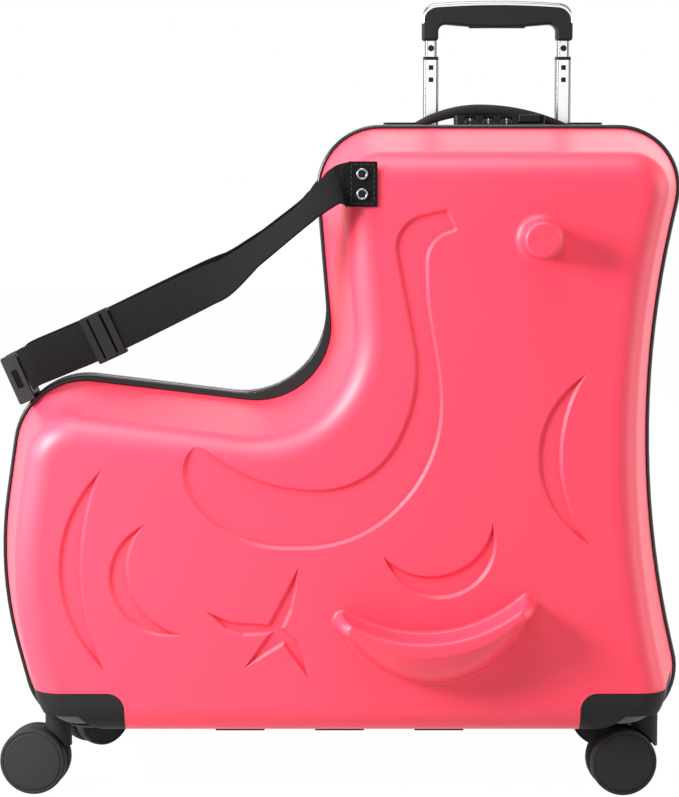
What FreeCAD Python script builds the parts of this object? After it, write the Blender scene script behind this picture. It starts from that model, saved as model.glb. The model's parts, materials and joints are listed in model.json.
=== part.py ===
# Child's ride-on suitcase: two drafted shells joined along the bottom by a pinned hinge, four twin-wheel
# casters, a two-stage trolley handle, a carry handle, a dial lock on the zip and a seat belt with a buckle.
# Frame: origin on the floor under the middle of the case, +X towards the handle end, +Y to the trolley side.
import FreeCAD
import Part
import math
import os
import re
import Sketcher

Vec = FreeCAD.Vector

SIZES = {
    # case outline at the rim, as the corners of a polygon with rounded corners
    "rim_bottom": 34.0, "rim_top": 470.8,
    "heel_x": -218.7, "heel_round": 43.6,
    "toe_x": 256.7, "toe_round": 43.6,
    "waist_x": 205.3, "waist_z": 247.4, "waist_round": 690.0,
    "crown_x": 253.9, "crown_round": 43.0,
    "nape_x": -18.3, "nape_round": 44.0,
    "seat_x": -1.2, "seat_z": 266.7, "seat_round": 54.0,
    "tail_x": -227.4, "tail_z": 294.2, "tail_round": 51.0,
    "belly_x": -249.0, "belly_z": 148.6, "belly_round": 280.0,
    # shells
    "half_depth": 110.0, "draft": 10.5, "edge_round": 20.0, "wall": 3.0, "rim_setback": 5.0,
    # moulded peg and foot rest on each face
    "peg_x": 137.1, "peg_z": 395.1, "peg_radius": 12.5, "peg_reach": 30.0, "peg_root": 6.0, "peg_tip": 2.5,
    "rest_x": 67.4, "rest_z": 120.9, "rest_reach": 33.0, "rest_tilt": 5.3, "rest_soften": 2.6, "rest_root": 3.0,
    # pressed ornament on each face
    "relief_depth": 2.3, "relief_slope": 45.0,
    # rubber trim, zip chain and hinge along the rim
    "trim_proud": 2.2, "seat_trim_proud": 4.6, "seat_trim_round": 60.0, "trim_half_width": 9.0, "trim_lip": 5.0,
    "trim_soften": 1.6, "zip_half_width": 2.0, "zip_sink": 1.4, "zip_depth": 6.0, "mid_gap": 0.15,
    "hinge_left": -128.0, "hinge_length": 256.0, "knuckle_count": 7, "knuckle_radius": 3.2, "knuckle_gap": 0.6,
    "hinge_pin_radius": 1.5, "leaf_thick": 1.7, "leaf_reach": 9.0, "pin_clear": 0.05, "run_clear": 0.5,
    "hinge_z": 33.0,
    # corner guards and casters
    "guard_left": -150.0, "guard_right": 168.0, "guard_top": 78.8, "guard_inner": 27.0, "guard_round": 12.0,
    "notch_reach": 60.0, "guard_floor": 62.4, "guard_gap": 0.3, "caster_left": -199.8, "caster_right": 216.8,
    "caster_y": 70.0,
    "wheel_radius": 23.6, "wheel_width": 9.5, "wheel_gap": 7.0, "wheel_soften": 2.0, "caster_trail": 16.7,
    "axle_radius": 2.5, "kingpin_radius": 4.0, "kingpin_top": 75.5, "kingpin_low": 48.0, "fork_radius": 9.4,
    "fork_low": 34.0, "fork_top": 61.9, "fork_web": 5.0, "fork_boss": 7.0, "arch_gap": 1.6, "hub_recess": 20.5,
    "hub_sunk": 0.6, "axle_reach": 10.5,
    "well_clear": 2.0, "front_left_turn": -6.0, "front_right_turn": 6.0, "rear_left_turn": 220.0,
    "rear_right_turn": -36.0,
    # trolley handle
    "trolley_x": 117.2, "trolley_y": 66.0, "tube_pitch": 98.4, "upper_tube_x": 8.7, "upper_tube_y": 13.0,
    "tube_wall": 1.0, "tube_clear": 0.25, "tube_round": 2.0, "guide_bottom": 98.6, "guide_top": 467.6,
    "lower_bottom": 158.6, "lower_top": 521.1, "upper_bottom": 184.6, "collar_height": 2.4, "bezel_top": 468.8,
    "bezel_margin": 7.0, "bezel_side": 3.5, "bezel_hole_gap": 0.3, "bracket_height": 20.0, "bracket_margin": 5.0,
    "tube_seat": 6.0, "way_sunk": 30.0, "way_height": 60.0,
    "grip_bottom": 535.2, "grip_top": 565.9, "grip_length": 111.6, "grip_leg": 12.0, "grip_bar": 18.1,
    "grip_belly": 3.6, "grip_crown": 3.5, "grip_depth": 19.0, "grip_socket": 12.0, "grip_round": 10.5,
    "grip_inner_round": 5.5, "grip_soften": 2.2, "crown_bend": 600.0, "belly_bend": 250.0, "grip_end_round": 2.4,
    "strip_thick": 3.2, "strip_side": 1.2, "strip_end": 548.3, "sharp": 0.2, "button_soften": 1.0,
    "button_length": 42.0, "button_depth": 9.0, "button_height": 7.0,
    "button_proud": 0.3, "button_travel": 3.0, "grip_pin_radius": 2.3, "grip_pin_z": 529.8,
    "grip_pin_proud": 0.15, "catch_size": 3.5, "catch_drop_one": 5.6, "catch_drop_two": 14.6,
    # carry handle
    "carry_left": 44.5, "carry_right": 180.7, "carry_peak_x": 102.5, "carry_peak_z": 488.0, "carry_y": 41.0,
    "carry_width": 20.0, "carry_thick": 5.0, "anchor_length": 24.0, "anchor_width": 24.0, "anchor_height": 4.0,
    "anchor_sunk": 16.0, "anchor_round": 3.0, "carry_sunk": 4.0,
    # dial lock on the zip
    "lock_left": 83.5, "lock_length": 65.9, "lock_front": 10.4, "lock_depth": 20.0, "lock_top": 479.8,
    "lock_round": 3.0, "dial_soften": 0.6, "dial_radius": 3.9, "dial_width": 7.0, "dial_first": 11.2,
    "dial_pitch": 13.2,
    "dial_gap": 0.4, "dial_y": 13.5, "dial_z": 474.7, "spindle_radius": 1.5, "lock_button_x": 54.0,
    "lock_button_length": 15.0, "lock_button_width": 9.0, "lock_button_height": 6.0, "lock_button_proud": 0.8,
    "lock_button_travel": 3.0, "lock_button_soften": 1.2, "slider_length": 9.0, "slider_width": 3.6,
    "slider_height": 1.2, "slider_left": 155.0, "slider_pitch": 11.0,
    # seat belt
    "web_width": 30.0, "web_thick": 1.8, "web_seat_gap": 0.4, "tab_x": 5.9, "tab_z": 432.3, "tab_length": 20.0,
    "tab_width": 31.0, "rivet_radius": 4.0, "rivet_head": 1.6, "rivet_pitch": 13.6, "rivet_inset": 9.5,
    "swivel_x": 22.8, "swivel_z": 421.0, "swivel_radius": 3.0, "swivel_flange": 5.0, "flange_thick": 2.0,
    "buckle_x": -233.4, "buckle_z": 294.0, "buckle_lean": -23.6, "buckle_width": 36.0, "buckle_thick": 12.0,
    "socket_length": 26.0, "plug_length": 22.0, "plug_gap": 0.5, "prong_length": 16.0, "prong_thick": 4.0,
    "prong_width": 6.0, "prong_clear": 0.9, "prong_root": 2.0, "adjuster_width": 35.0, "adjuster_length": 23.0,
    "adjuster_thick": 6.0, "swivel_bore": 12.0,
}

doc = FreeCAD.newDocument("RideOnSuitcase")
sheet = doc.addObject("Spreadsheet::Sheet", "Sizes")
for row, (alias, value) in enumerate(SIZES.items(), start=1):
    sheet.set(f"A{row}", alias)
    sheet.set(f"B{row}", str(value))
    sheet.setAlias(f"B{row}", alias)
doc.recompute()


class Sheet:
    # reads a size from the spreadsheet by its alias
    def __getattr__(self, alias):
        return float(sheet.get(alias))


S = Sheet()
NODES = {}
FRONT = -1
REAR = 1
SIDES = {"front": FRONT, "rear": REAR}


def formula(text):
    # spells each alias in a formula as a cell of the sheet
    return re.sub(r"[a-z][a-z_]+", lambda word: f"Sizes.{word.group()}", text)


def bind(thing, **sizes):
    # ties properties of an object to formulas of sheet aliases
    for name, text in sizes.items():
        thing.setExpression(name, formula(text))


def node(label, thing):
    thing.Label = label
    NODES[label] = thing
    return thing


def solid(label, shape):
    # a sub-part worked out with Part's own functions
    thing = doc.addObject("Part::Feature", label + "_shape")
    thing.Shape = shape
    return thing


def box(name, sizes, corner):
    thing = doc.addObject("Part::Box", name)
    bind(thing, Length=sizes[0], Width=sizes[1], Height=sizes[2])
    thing.Placement.Base = Vec(*corner)
    return thing


TURN = {
    "X": FreeCAD.Rotation(Vec(0, 1, 0), 90),
    "Y": FreeCAD.Rotation(Vec(1, 0, 0), -90),
    "Z": FreeCAD.Rotation(),
}


def cylinder(name, radius, height, base, axis="Z", frame=FreeCAD.Placement()):
    thing = doc.addObject("Part::Cylinder", name)
    bind(thing, Radius=radius, Height=height)
    thing.Placement = frame.multiply(FreeCAD.Placement(Vec(*base), TURN[axis]))
    return thing


def joined(name, *things):
    thing = doc.addObject("Part::MultiFuse", name)
    thing.Shapes = list(things)
    return thing


def grouped(name, *things):
    thing = doc.addObject("Part::Compound", name)
    thing.Links = list(things)
    return thing


def cut(name, base, *tools):
    thing = doc.addObject("Part::Cut", name)
    thing.Base = base
    thing.Tool = tools[0] if len(tools) == 1 else joined(name + "_tools", *tools)
    return thing


def softened(name, base, radius, wanted):
    # rounds the edges of a finished solid that the test picks
    doc.recompute()
    thing = doc.addObject("Part::Fillet", name)
    thing.Base = base
    picked = [i for i, edge in enumerate(base.Shape.Edges, start=1) if wanted(edge)]
    thing.Edges = [(i, radius, radius) for i in picked]
    return thing


def plane(body, role):
    return next(f for f in body.Origin.OriginFeatures if f.Role == role)


def new_body(name):
    return doc.addObject("PartDesign::Body", name)


def sketch_on(body, name, role="XZ_Plane", lift=0.0):
    # the XZ plane faces -Y, so a positive lift moves the sketch towards the front
    sketch = body.newObject("Sketcher::SketchObject", name)
    sketch.AttachmentSupport = (plane(body, role), [""])
    sketch.MapMode = "FlatFace"
    sketch.AttachmentOffset = FreeCAD.Placement(Vec(0, 0, lift), FreeCAD.Rotation())
    return sketch


def unit(a, b):
    step = (b[0] - a[0], b[1] - a[1])
    length = math.hypot(*step)
    return step[0] / length, step[1] / length


def rounded(corners):
    # each corner (x, y, radius) gives its tangent points, arc centre and sense of turn
    count = len(corners)
    found = []
    for i, (x, y, radius) in enumerate(corners):
        came = unit(corners[i - 1], (x, y))
        goes = unit((x, y), corners[(i + 1) % count])
        side = 1 if came[0] * goes[1] - came[1] * goes[0] > 0 else -1
        turn = math.acos(max(-1.0, min(1.0, came[0] * goes[0] + came[1] * goes[1])))
        reach = radius * math.tan(turn / 2)
        start = (x - came[0] * reach, y - came[1] * reach)
        end = (x + goes[0] * reach, y + goes[1] * reach)
        centre = (start[0] - side * came[1] * radius, start[1] + side * came[0] * radius)
        found.append((start, end, centre, side))
    return found


def pin_point(sketch, geometry, place, texts):
    # fixes a point of the sketch at distances from its origin, bound to the sheet where a formula is given
    for kind, value, text in zip(("DistanceX", "DistanceY"), place, texts):
        ends = (-1, 1, geometry, 1) if value >= 0 else (geometry, 1, -1, 1)
        index = sketch.addConstraint(Sketcher.Constraint(kind, *ends, abs(value)))
        if text:
            label = f"{kind}_{geometry}"
            sketch.renameConstraint(index, label)
            sketch.setExpression("Constraints." + label, formula(text if value >= 0 else f"-({text})"))


def rounded_loop(sketch, corners, texts=None):
    # draws a polygon with rounded corners, its corner points and radii tied to the sheet
    arcs = []
    lines = []
    places = rounded(corners)
    count = len(corners)
    for (x, y, radius), (start, end, centre, side) in zip(corners, places):
        first, last = (start, end) if side > 0 else (end, start)
        a0 = math.atan2(first[1] - centre[1], first[0] - centre[0])
        a1 = math.atan2(last[1] - centre[1], last[0] - centre[0])
        a1 += 2 * math.pi if a1 < a0 else 0
        circle = Part.Circle(Vec(*centre, 0), Vec(0, 0, 1), radius)
        arcs.append(sketch.addGeometry(Part.ArcOfCircle(circle, a0, a1), False))
    for i in range(count):
        begin = places[i][1]
        finish = places[(i + 1) % count][0]
        lines.append(sketch.addGeometry(Part.LineSegment(Vec(*begin, 0), Vec(*finish, 0)), False))
    for i in range(count):
        side = places[i][3]
        arrive, leave = (1, 2) if side > 0 else (2, 1)
        sketch.addConstraint(Sketcher.Constraint("Tangent", lines[i - 1], 2, arcs[i], arrive))
        sketch.addConstraint(Sketcher.Constraint("Tangent", arcs[i], leave, lines[i], 1))
        x, y, radius = corners[i]
        index = sketch.addConstraint(Sketcher.Constraint("Radius", arcs[i], radius))
        text = texts[i] if texts else (None, None, None)
        if text[2]:
            label = f"Round_{arcs[i]}"
            sketch.renameConstraint(index, label)
            sketch.setExpression("Constraints." + label, formula(text[2]))
        point = sketch.addGeometry(Part.Point(Vec(x, y, 0)), True)
        sketch.addConstraint(Sketcher.Constraint("PointOnObject", point, 1, lines[i - 1]))
        sketch.addConstraint(Sketcher.Constraint("PointOnObject", point, 1, lines[i]))
        pin_point(sketch, point, (x, y), text[:2])


def curve_loop(sketch, steps):
    # draws a closed run of lines (two points) and arcs (three points)
    added = []
    for step in steps:
        points = [Vec(*p, 0) for p in step]
        piece = Part.LineSegment(*points) if len(points) == 2 else Part.Arc(*points)
        added.append(sketch.addGeometry(piece, False))
    for i, here in enumerate(added):
        follow = added[(i + 1) % len(added)]
        end = 2
        if len(steps[i]) == 3:
            start = sketch.getPoint(here, 2)
            end = 2 if (start - Vec(*steps[i][2], 0)).Length < 1e-6 else 1
        begin = 1
        after = steps[(i + 1) % len(added)]
        if len(after) == 3:
            first = sketch.getPoint(follow, 1)
            begin = 1 if (first - Vec(*after[0], 0)).Length < 1e-6 else 2
        sketch.addConstraint(Sketcher.Constraint("Coincident", here, end, follow, begin))


def pad(body, sketch, length, **settings):
    feature = body.newObject("PartDesign::Pad", sketch.Name + "_pad")
    feature.Profile = sketch
    bind(feature, Length=length)
    for name, value in settings.items():
        setattr(feature, name, value)
    doc.recompute()
    return feature


def pocket(body, sketch, length, **settings):
    before = body.Shape.Volume
    feature = body.newObject("PartDesign::Pocket", sketch.Name + "_pocket")
    feature.Profile = sketch
    bind(feature, Length=length)
    for name, value in settings.items():
        setattr(feature, name, value)
    doc.recompute()
    if body.Shape.Volume >= before:
        raise RuntimeError(f"{feature.Name} removes nothing")
    return feature


def fillet(body, base, radius, wanted):
    picked = [f"Edge{i}" for i, edge in enumerate(base.Shape.Edges, start=1) if wanted(edge)]
    feature = body.newObject("PartDesign::Fillet", base.Name + "_round")
    feature.Base = (base, picked)
    bind(feature, Radius=radius)
    doc.recompute()
    return feature


def at_depth(edge, depth):
    # true for an edge that lies flat in the plane y = depth
    bounds = edge.BoundBox
    return abs(bounds.YMin - depth) < 1e-4 and abs(bounds.YMax - depth) < 1e-4


# Case outline: corner points with their formulas, counter-clockwise from the bottom rear corner.
RIM = [
    ("heel_x", "rim_bottom", "heel_round"),
    ("toe_x", "rim_bottom", "toe_round"),
    ("waist_x", "waist_z", "waist_round"),
    ("crown_x", "rim_top", "crown_round"),
    ("nape_x", "rim_top", "nape_round"),
    ("seat_x", "seat_z", "seat_round"),
    ("tail_x", "tail_z", "tail_round"),
    ("belly_x", "belly_z", "belly_round"),
]
rim_corners = [tuple(float(sheet.get(word)) for word in corner) for corner in RIM]
rim_hollows = [side < 0 for start, end, centre, side in rounded(rim_corners)]


def moved_out(corners, amounts):
    # moves each side of the polygon out by its own amount, keeping rounded corners concentric
    count = len(corners)
    sides = []
    for i in range(count):
        along = unit(corners[i], corners[(i + 1) % count])
        out = (along[1], -along[0])
        sides.append(((corners[i][0] + out[0] * amounts[i], corners[i][1] + out[1] * amounts[i]), along))
    result = []
    for i in range(count):
        (p, d), (q, e) = sides[i - 1], sides[i]
        t = ((q[0] - p[0]) * e[1] - (q[1] - p[1]) * e[0]) / (d[0] * e[1] - d[1] * e[0])
        change = (amounts[i - 1] + amounts[i]) / 2
        radius = corners[i][2] - change if rim_hollows[i] else corners[i][2] + change
        result.append((p[0] + d[0] * t, p[1] + d[1] * t, radius))
    return result


def rim_wire(corners, depth):
    # closed wire of lines and arcs in the plane y = depth
    edges = []
    places = rounded(corners)
    for i, (start, end, centre, side) in enumerate(places):
        radius = corners[i][2]
        middle = unit(centre, ((start[0] + end[0]) / 2, (start[1] + end[1]) / 2))
        crest = (centre[0] + middle[0] * radius, centre[1] + middle[1] * radius)
        points = [Vec(p[0], depth, p[1]) for p in (start, crest, end)]
        edges.append(Part.Arc(*points).toShape())
        following = places[(i + 1) % len(places)][0]
        edges.append(Part.LineSegment(points[2], Vec(following[0], depth, following[1])).toShape())
    return Part.Wire(edges)


def prism(corners, near, far):
    # solid over an outline from depth near to depth far
    return Part.Face(rim_wire(corners, near)).extrude(Vec(0, far - near, 0))


all_sides = [1.0] * len(RIM)
SEAT_SIDE = 5
trim_amounts = [S.seat_trim_proud if i == SEAT_SIDE else S.trim_proud for i in range(len(RIM))]
trim_corners = moved_out(rim_corners, trim_amounts)
trim_corners[SEAT_SIDE] = (*trim_corners[SEAT_SIDE][:2], S.seat_trim_round)


def shrunk(corners, amount):
    return moved_out(corners, [-amount * one for one in all_sides])


def tapered_block(body, side):
    # block over the rim outline, drafted towards the face
    sketch = sketch_on(body, body.Name + "_rim", lift=-side * S.rim_setback)
    rounded_loop(sketch, rim_corners, RIM)
    block = pad(body, sketch, "half_depth - rim_setback", Reversed=side == REAR, TaperAngle=-S.draft)
    bind(block, TaperAngle="-draft")
    doc.recompute()
    return block


def round_face(body, base, side):
    return fillet(body, base, "edge_round", lambda edge: at_depth(edge, side * S.half_depth))


def hollow_out(body, side):
    # drafted cavity one wall inside the block, with its own rounded floor edge
    sketch = sketch_on(body, body.Name + "_cavity", lift=-side * S.rim_setback)
    rounded_loop(sketch, shrunk(rim_corners, S.wall))
    cavity = pocket(body, sketch, "half_depth - rim_setback - wall", Reversed=side == FRONT, TaperAngle=-S.draft)
    bind(cavity, TaperAngle="-draft")
    doc.recompute()
    floor = side * (S.half_depth - S.wall)
    return fillet(body, cavity, "edge_round - wall", lambda edge: at_depth(edge, floor))


def face_sketch(body, name, side, sunk=0.0):
    # sketch parallel to the face of a shell, sunk below it by the given depth
    return sketch_on(body, name, lift=-side * (S.half_depth - sunk))


def add_peg(body, side):
    sketch = face_sketch(body, body.Name + "_peg", side, S.wall / 2)
    circle = sketch.addGeometry(Part.Circle(Vec(S.peg_x, S.peg_z, 0), Vec(0, 0, 1), S.peg_radius), False)
    index = sketch.addConstraint(Sketcher.Constraint("Radius", circle, S.peg_radius))
    sketch.renameConstraint(index, "peg_radius")
    sketch.setExpression("Constraints.peg_radius", formula("peg_radius"))
    for kind, word in (("DistanceX", "peg_x"), ("DistanceY", "peg_z")):
        index = sketch.addConstraint(Sketcher.Constraint(kind, -1, 1, circle, 3, float(sheet.get(word))))
        sketch.renameConstraint(index, word)
        sketch.setExpression("Constraints." + word, formula(word))
    peg = pad(body, sketch, "peg_reach + wall / 2", Reversed=side == REAR)
    centre = Vec(S.peg_x, side * S.half_depth, S.peg_z)

    def root(edge):
        return at_depth(edge, centre.y) and (edge.BoundBox.Center - centre).Length < 0.01

    def tip(edge):
        return at_depth(edge, side * (S.half_depth + S.peg_reach))

    rounded_root = fillet(body, peg, "peg_root", root)
    return fillet(body, rounded_root, "peg_tip", tip)


def crescent(tip_a, tip_b, bulge, hollow):
    # two arcs that share their ends
    return [(tip_a, bulge, tip_b), (tip_b, hollow, tip_a)]


# Foot rest from the shell to its lip: share of the reach, length, height of the middle, lift and radius of the ends.
REST = [(0.0, 139.6, 33.0, 21.5, 6.0), (0.5, 137.0, 28.0, 20.8, 5.7), (0.82, 131.0, 19.0, 19.1, 5.0),
        (1.0, 120.0, 9.0, 16.1, 4.0)]


def rest_outline(length, height, lift, end):
    # banana outline: hollow upper edge, fuller lower edge, half-round ends, the whole tilted up to the right
    reach = length / 2 - end
    low = lift - 2 * end
    steps = [
        ((-reach, lift), (0.0, 0.0), (reach, lift)),
        ((reach, lift), (reach + end, lift - end), (reach, low)),
        ((reach, low), (0.0, -height), (-reach, low)),
        ((-reach, low), (-reach - end, lift - end), (-reach, lift)),
    ]
    tilt = math.radians(S.rest_tilt)

    def placed(x, z):
        return (S.rest_x + x * math.cos(tilt) - z * math.sin(tilt),
                S.rest_z + x * math.sin(tilt) + z * math.cos(tilt))

    return [tuple(placed(*point) for point in step) for step in steps]


def add_foot_rest(body, side):
    # shelf with a hollow upper edge whose underside swells back to the shell
    sections = []
    for share, *outline in REST:
        sunk = -share * S.rest_reach if share else S.wall / 2
        sections.append(face_sketch(body, f"{body.Name}_rest{len(sections)}", side, sunk))
        curve_loop(sections[-1], rest_outline(*outline))
    loft = body.newObject("PartDesign::AdditiveLoft", body.Name + "_rest")
    loft.Profile = sections[0]
    loft.Sections = sections[1:]
    doc.recompute()
    face = side * S.half_depth

    def lip_edge(edge):
        return at_depth(edge, face + side * S.rest_reach)

    def root(edge):
        near = edge.BoundBox.Center - Vec(S.rest_x, face, S.rest_z)
        return at_depth(edge, face) and abs(near.x) < REST[0][1] / 2 and abs(near.z) < REST[0][2]

    rounded_lip = fillet(body, loft, "rest_soften", lip_edge)
    return fillet(body, rounded_lip, "rest_root", root)


# Pressed ornament: a hooked panel, four crescents and a plain four-tipped star, as points on the face.
HOOK = [
    (-98.9, 256.5, 3.0), (-117.3, 232.9, 33.0), (-76.2, 180.0, 78.0), (13.5, 180.0, 91.0), (71.5, 238.8, 101.0),
    (71.3, 295.9, 155.0), (61.2, 354.2, 200.0), (61.1, 394.2, 20.0), (81.4, 400.2, 3.0), (74.7, 415.8, 3.0),
    (33.8, 406.9, 24.0), (56.2, 288.1, 101.0), (20.4, 222.2, 60.0), (-54.3, 222.2, 110.0),
]
CRESCENTS = [
    ((-163.6, 236.8), (-162.9, 94.3), (-194.7, 166.9), (-177.9, 168.1)),
    ((-133.9, 198.2), (-108.9, 120.6), (-159.2, 168.1), (-146.1, 166.9)),
    ((170.3, 302.9), (173.4, 183.1), (136.3, 244.2), (153.8, 244.2)),
    ((105.9, 200.0), (30.0, 176.5), (63.4, 145.9), (61.9, 161.8)),
]
STAR = [
    (-28.1, 168.7), (-49.7, 128.2), (-74.8, 129.9), (-93.2, 137.3), (-79.1, 123.9), (-67.3, 119.4), (-50.3, 120.3),
    (-67.5, 95.5), (-38.9, 113.0), (-22.0, 90.0), (-22.9, 104.2), (-27.8, 115.8), (-37.7, 125.8), (-32.6, 137.3),
    (-29.4, 153.4),
]


def straight(points):
    # closed run of straight steps
    return [(point, points[(i + 1) % len(points)]) for i, point in enumerate(points)]


def press_relief(body, side):
    figures = {f"crescent{i + 1}": crescent(*points) for i, points in enumerate(CRESCENTS)}
    figures["star"] = straight(STAR)
    figures["hook"] = None
    for name, steps in figures.items():
        sketch = face_sketch(body, f"{body.Name}_{name}", side)
        if steps:
            curve_loop(sketch, steps)
        else:
            rounded_loop(sketch, HOOK)
        feature = pocket(body, sketch, "relief_depth", Reversed=side == REAR, TaperAngle=-S.relief_slope)
        bind(feature, TaperAngle="-relief_slope")
    doc.recompute()


def guard_corners(left, grow):
    # outline of a corner notch, seen from the front, reaching past the case
    far = S.notch_reach
    edge = S.guard_left + grow if left else S.guard_right - grow
    outside = S.belly_x - far if left else S.crown_x + far
    top = S.guard_top + grow
    inner = (edge, top, S.guard_round + grow)
    outer = (outside, top, 1.0)
    low_outer = (outside, -far, 1.0)
    low_inner = (edge, -far, 1.0)
    return [low_inner, inner, outer, low_outer] if left else [low_inner, low_outer, outer, inner]


def notch_corners(body, side):
    for left in (True, False):
        name = "left" if left else "right"
        sketch = face_sketch(body, f"{body.Name}_notch_{name}", side, -S.peg_reach)
        rounded_loop(sketch, guard_corners(left, S.guard_gap))
        pocket(body, sketch, "half_depth + peg_reach - guard_inner + guard_gap", Reversed=side == REAR)


def shell(name, side):
    body = new_body(name + "_body")
    tapered_block(body, side)
    cavity = hollow_out(body, side)
    round_face(body, cavity, side)
    add_peg(body, side)
    add_foot_rest(body, side)
    press_relief(body, side)
    notch_corners(body, side)
    return body


def form(name, side):
    # solid drafted form of one half, to cut pieces to the outside of the shell
    body = new_body(name + "_form")
    block = tapered_block(body, side)
    round_face(body, block, side)
    return body


def common(name, base, tool):
    thing = doc.addObject("Part::Common", name)
    thing.Base = base
    thing.Tool = tool
    return thing


def upright(name, wide, deep, tall, place, corner):
    # block centred on a point of the plan, standing from a height, with rounded upright edges
    block = box(name + "_block", (wide, deep, tall), (0, 0, 0))
    doc.recompute()
    x, y, low = place
    block.Placement.Base = Vec(x - block.Length.Value / 2, y - block.Width.Value / 2, low)

    def standing(edge):
        return edge.BoundBox.ZLength > 0.9 * block.Height.Value

    return softened(name, block, corner, standing)


def hinge_space(reach, top):
    # room kept free for the hinge knuckles under the rim
    margin = S.run_clear
    start = Vec(S.hinge_left - margin, -reach, 0)
    return Part.makeBox(S.hinge_length + 2 * margin, 2 * reach, top, start)


def trim(side):
    # rubber band over the rim of one half with a lip behind the rim edge
    inner = side * S.zip_half_width
    seam = side * S.rim_setback
    outer = side * S.trim_half_width
    block = prism(trim_corners, inner, outer)
    soft = block.makeFillet(S.trim_soften, [edge for edge in block.Edges if at_depth(edge, outer)])
    lip = prism(shrunk(rim_corners, S.trim_lip), inner, seam)
    seat = prism(rim_corners, seam, outer)
    gap = hinge_space(S.knuckle_radius + S.run_clear, S.hinge_z + S.knuckle_radius + S.run_clear)
    return soft.cut([lip, seat, gap])


def zip_half(side):
    # half of the zip chain between the two bands, open along the hinge
    outer = shrunk(trim_corners, S.zip_sink)
    near = side * S.mid_gap
    far = side * S.zip_half_width
    hole = prism(shrunk(outer, S.zip_depth), near, far)
    gap = hinge_space(S.knuckle_radius + S.run_clear, S.rim_bottom + S.zip_depth + S.wall)
    return prism(outer, near, far).cut([hole, gap])


def hinge_leaf(name, side):
    pitch = S.hinge_length / S.knuckle_count
    hole = "hinge_pin_radius" if side == REAR else "hinge_pin_radius + pin_clear"
    pieces = []
    for i in range(0 if side == REAR else 1, int(S.knuckle_count), 2):
        left = S.hinge_left + i * pitch + S.knuckle_gap / 2
        length = "hinge_length / knuckle_count - knuckle_gap"
        barrel = cylinder(f"{name}_barrel{i}", "knuckle_radius", length, (left, 0, S.hinge_z), "X")
        corner = (left, min(0, side * S.leaf_reach), S.hinge_z - S.knuckle_radius)
        flap = box(f"{name}_flap{i}", (length, "leaf_reach", "leaf_thick"), corner)
        bore = cylinder(f"{name}_bore{i}", hole, length, (left, 0, S.hinge_z), "X")
        pieces.append(cut(f"{name}_knuckle{i}", joined(f"{name}_blank{i}", barrel, flap), bore))
    return node(name, grouped(name + "_leaf", *pieces))


def guard(name, left, side, form_body):
    # moulded corner cut from the drafted form, with a wheel well and a bore for the kingpin
    x = S.caster_left if left else S.caster_right
    face = Part.Face(rim_wire(guard_corners(left, 0.0), side * S.guard_inner))
    block = solid(name, face.extrude(Vec(0, side * S.half_depth, 0)))
    place = (x, side * S.caster_y, 0)
    well = cylinder(name + "_well", "caster_trail + wheel_radius + well_clear", "guard_floor", place)
    bore = cylinder(name + "_bore", "kingpin_radius", "kingpin_top", place)
    return node(name, cut(name + "_cut", common(name + "_form", form_body, block), well, bore))


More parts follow.
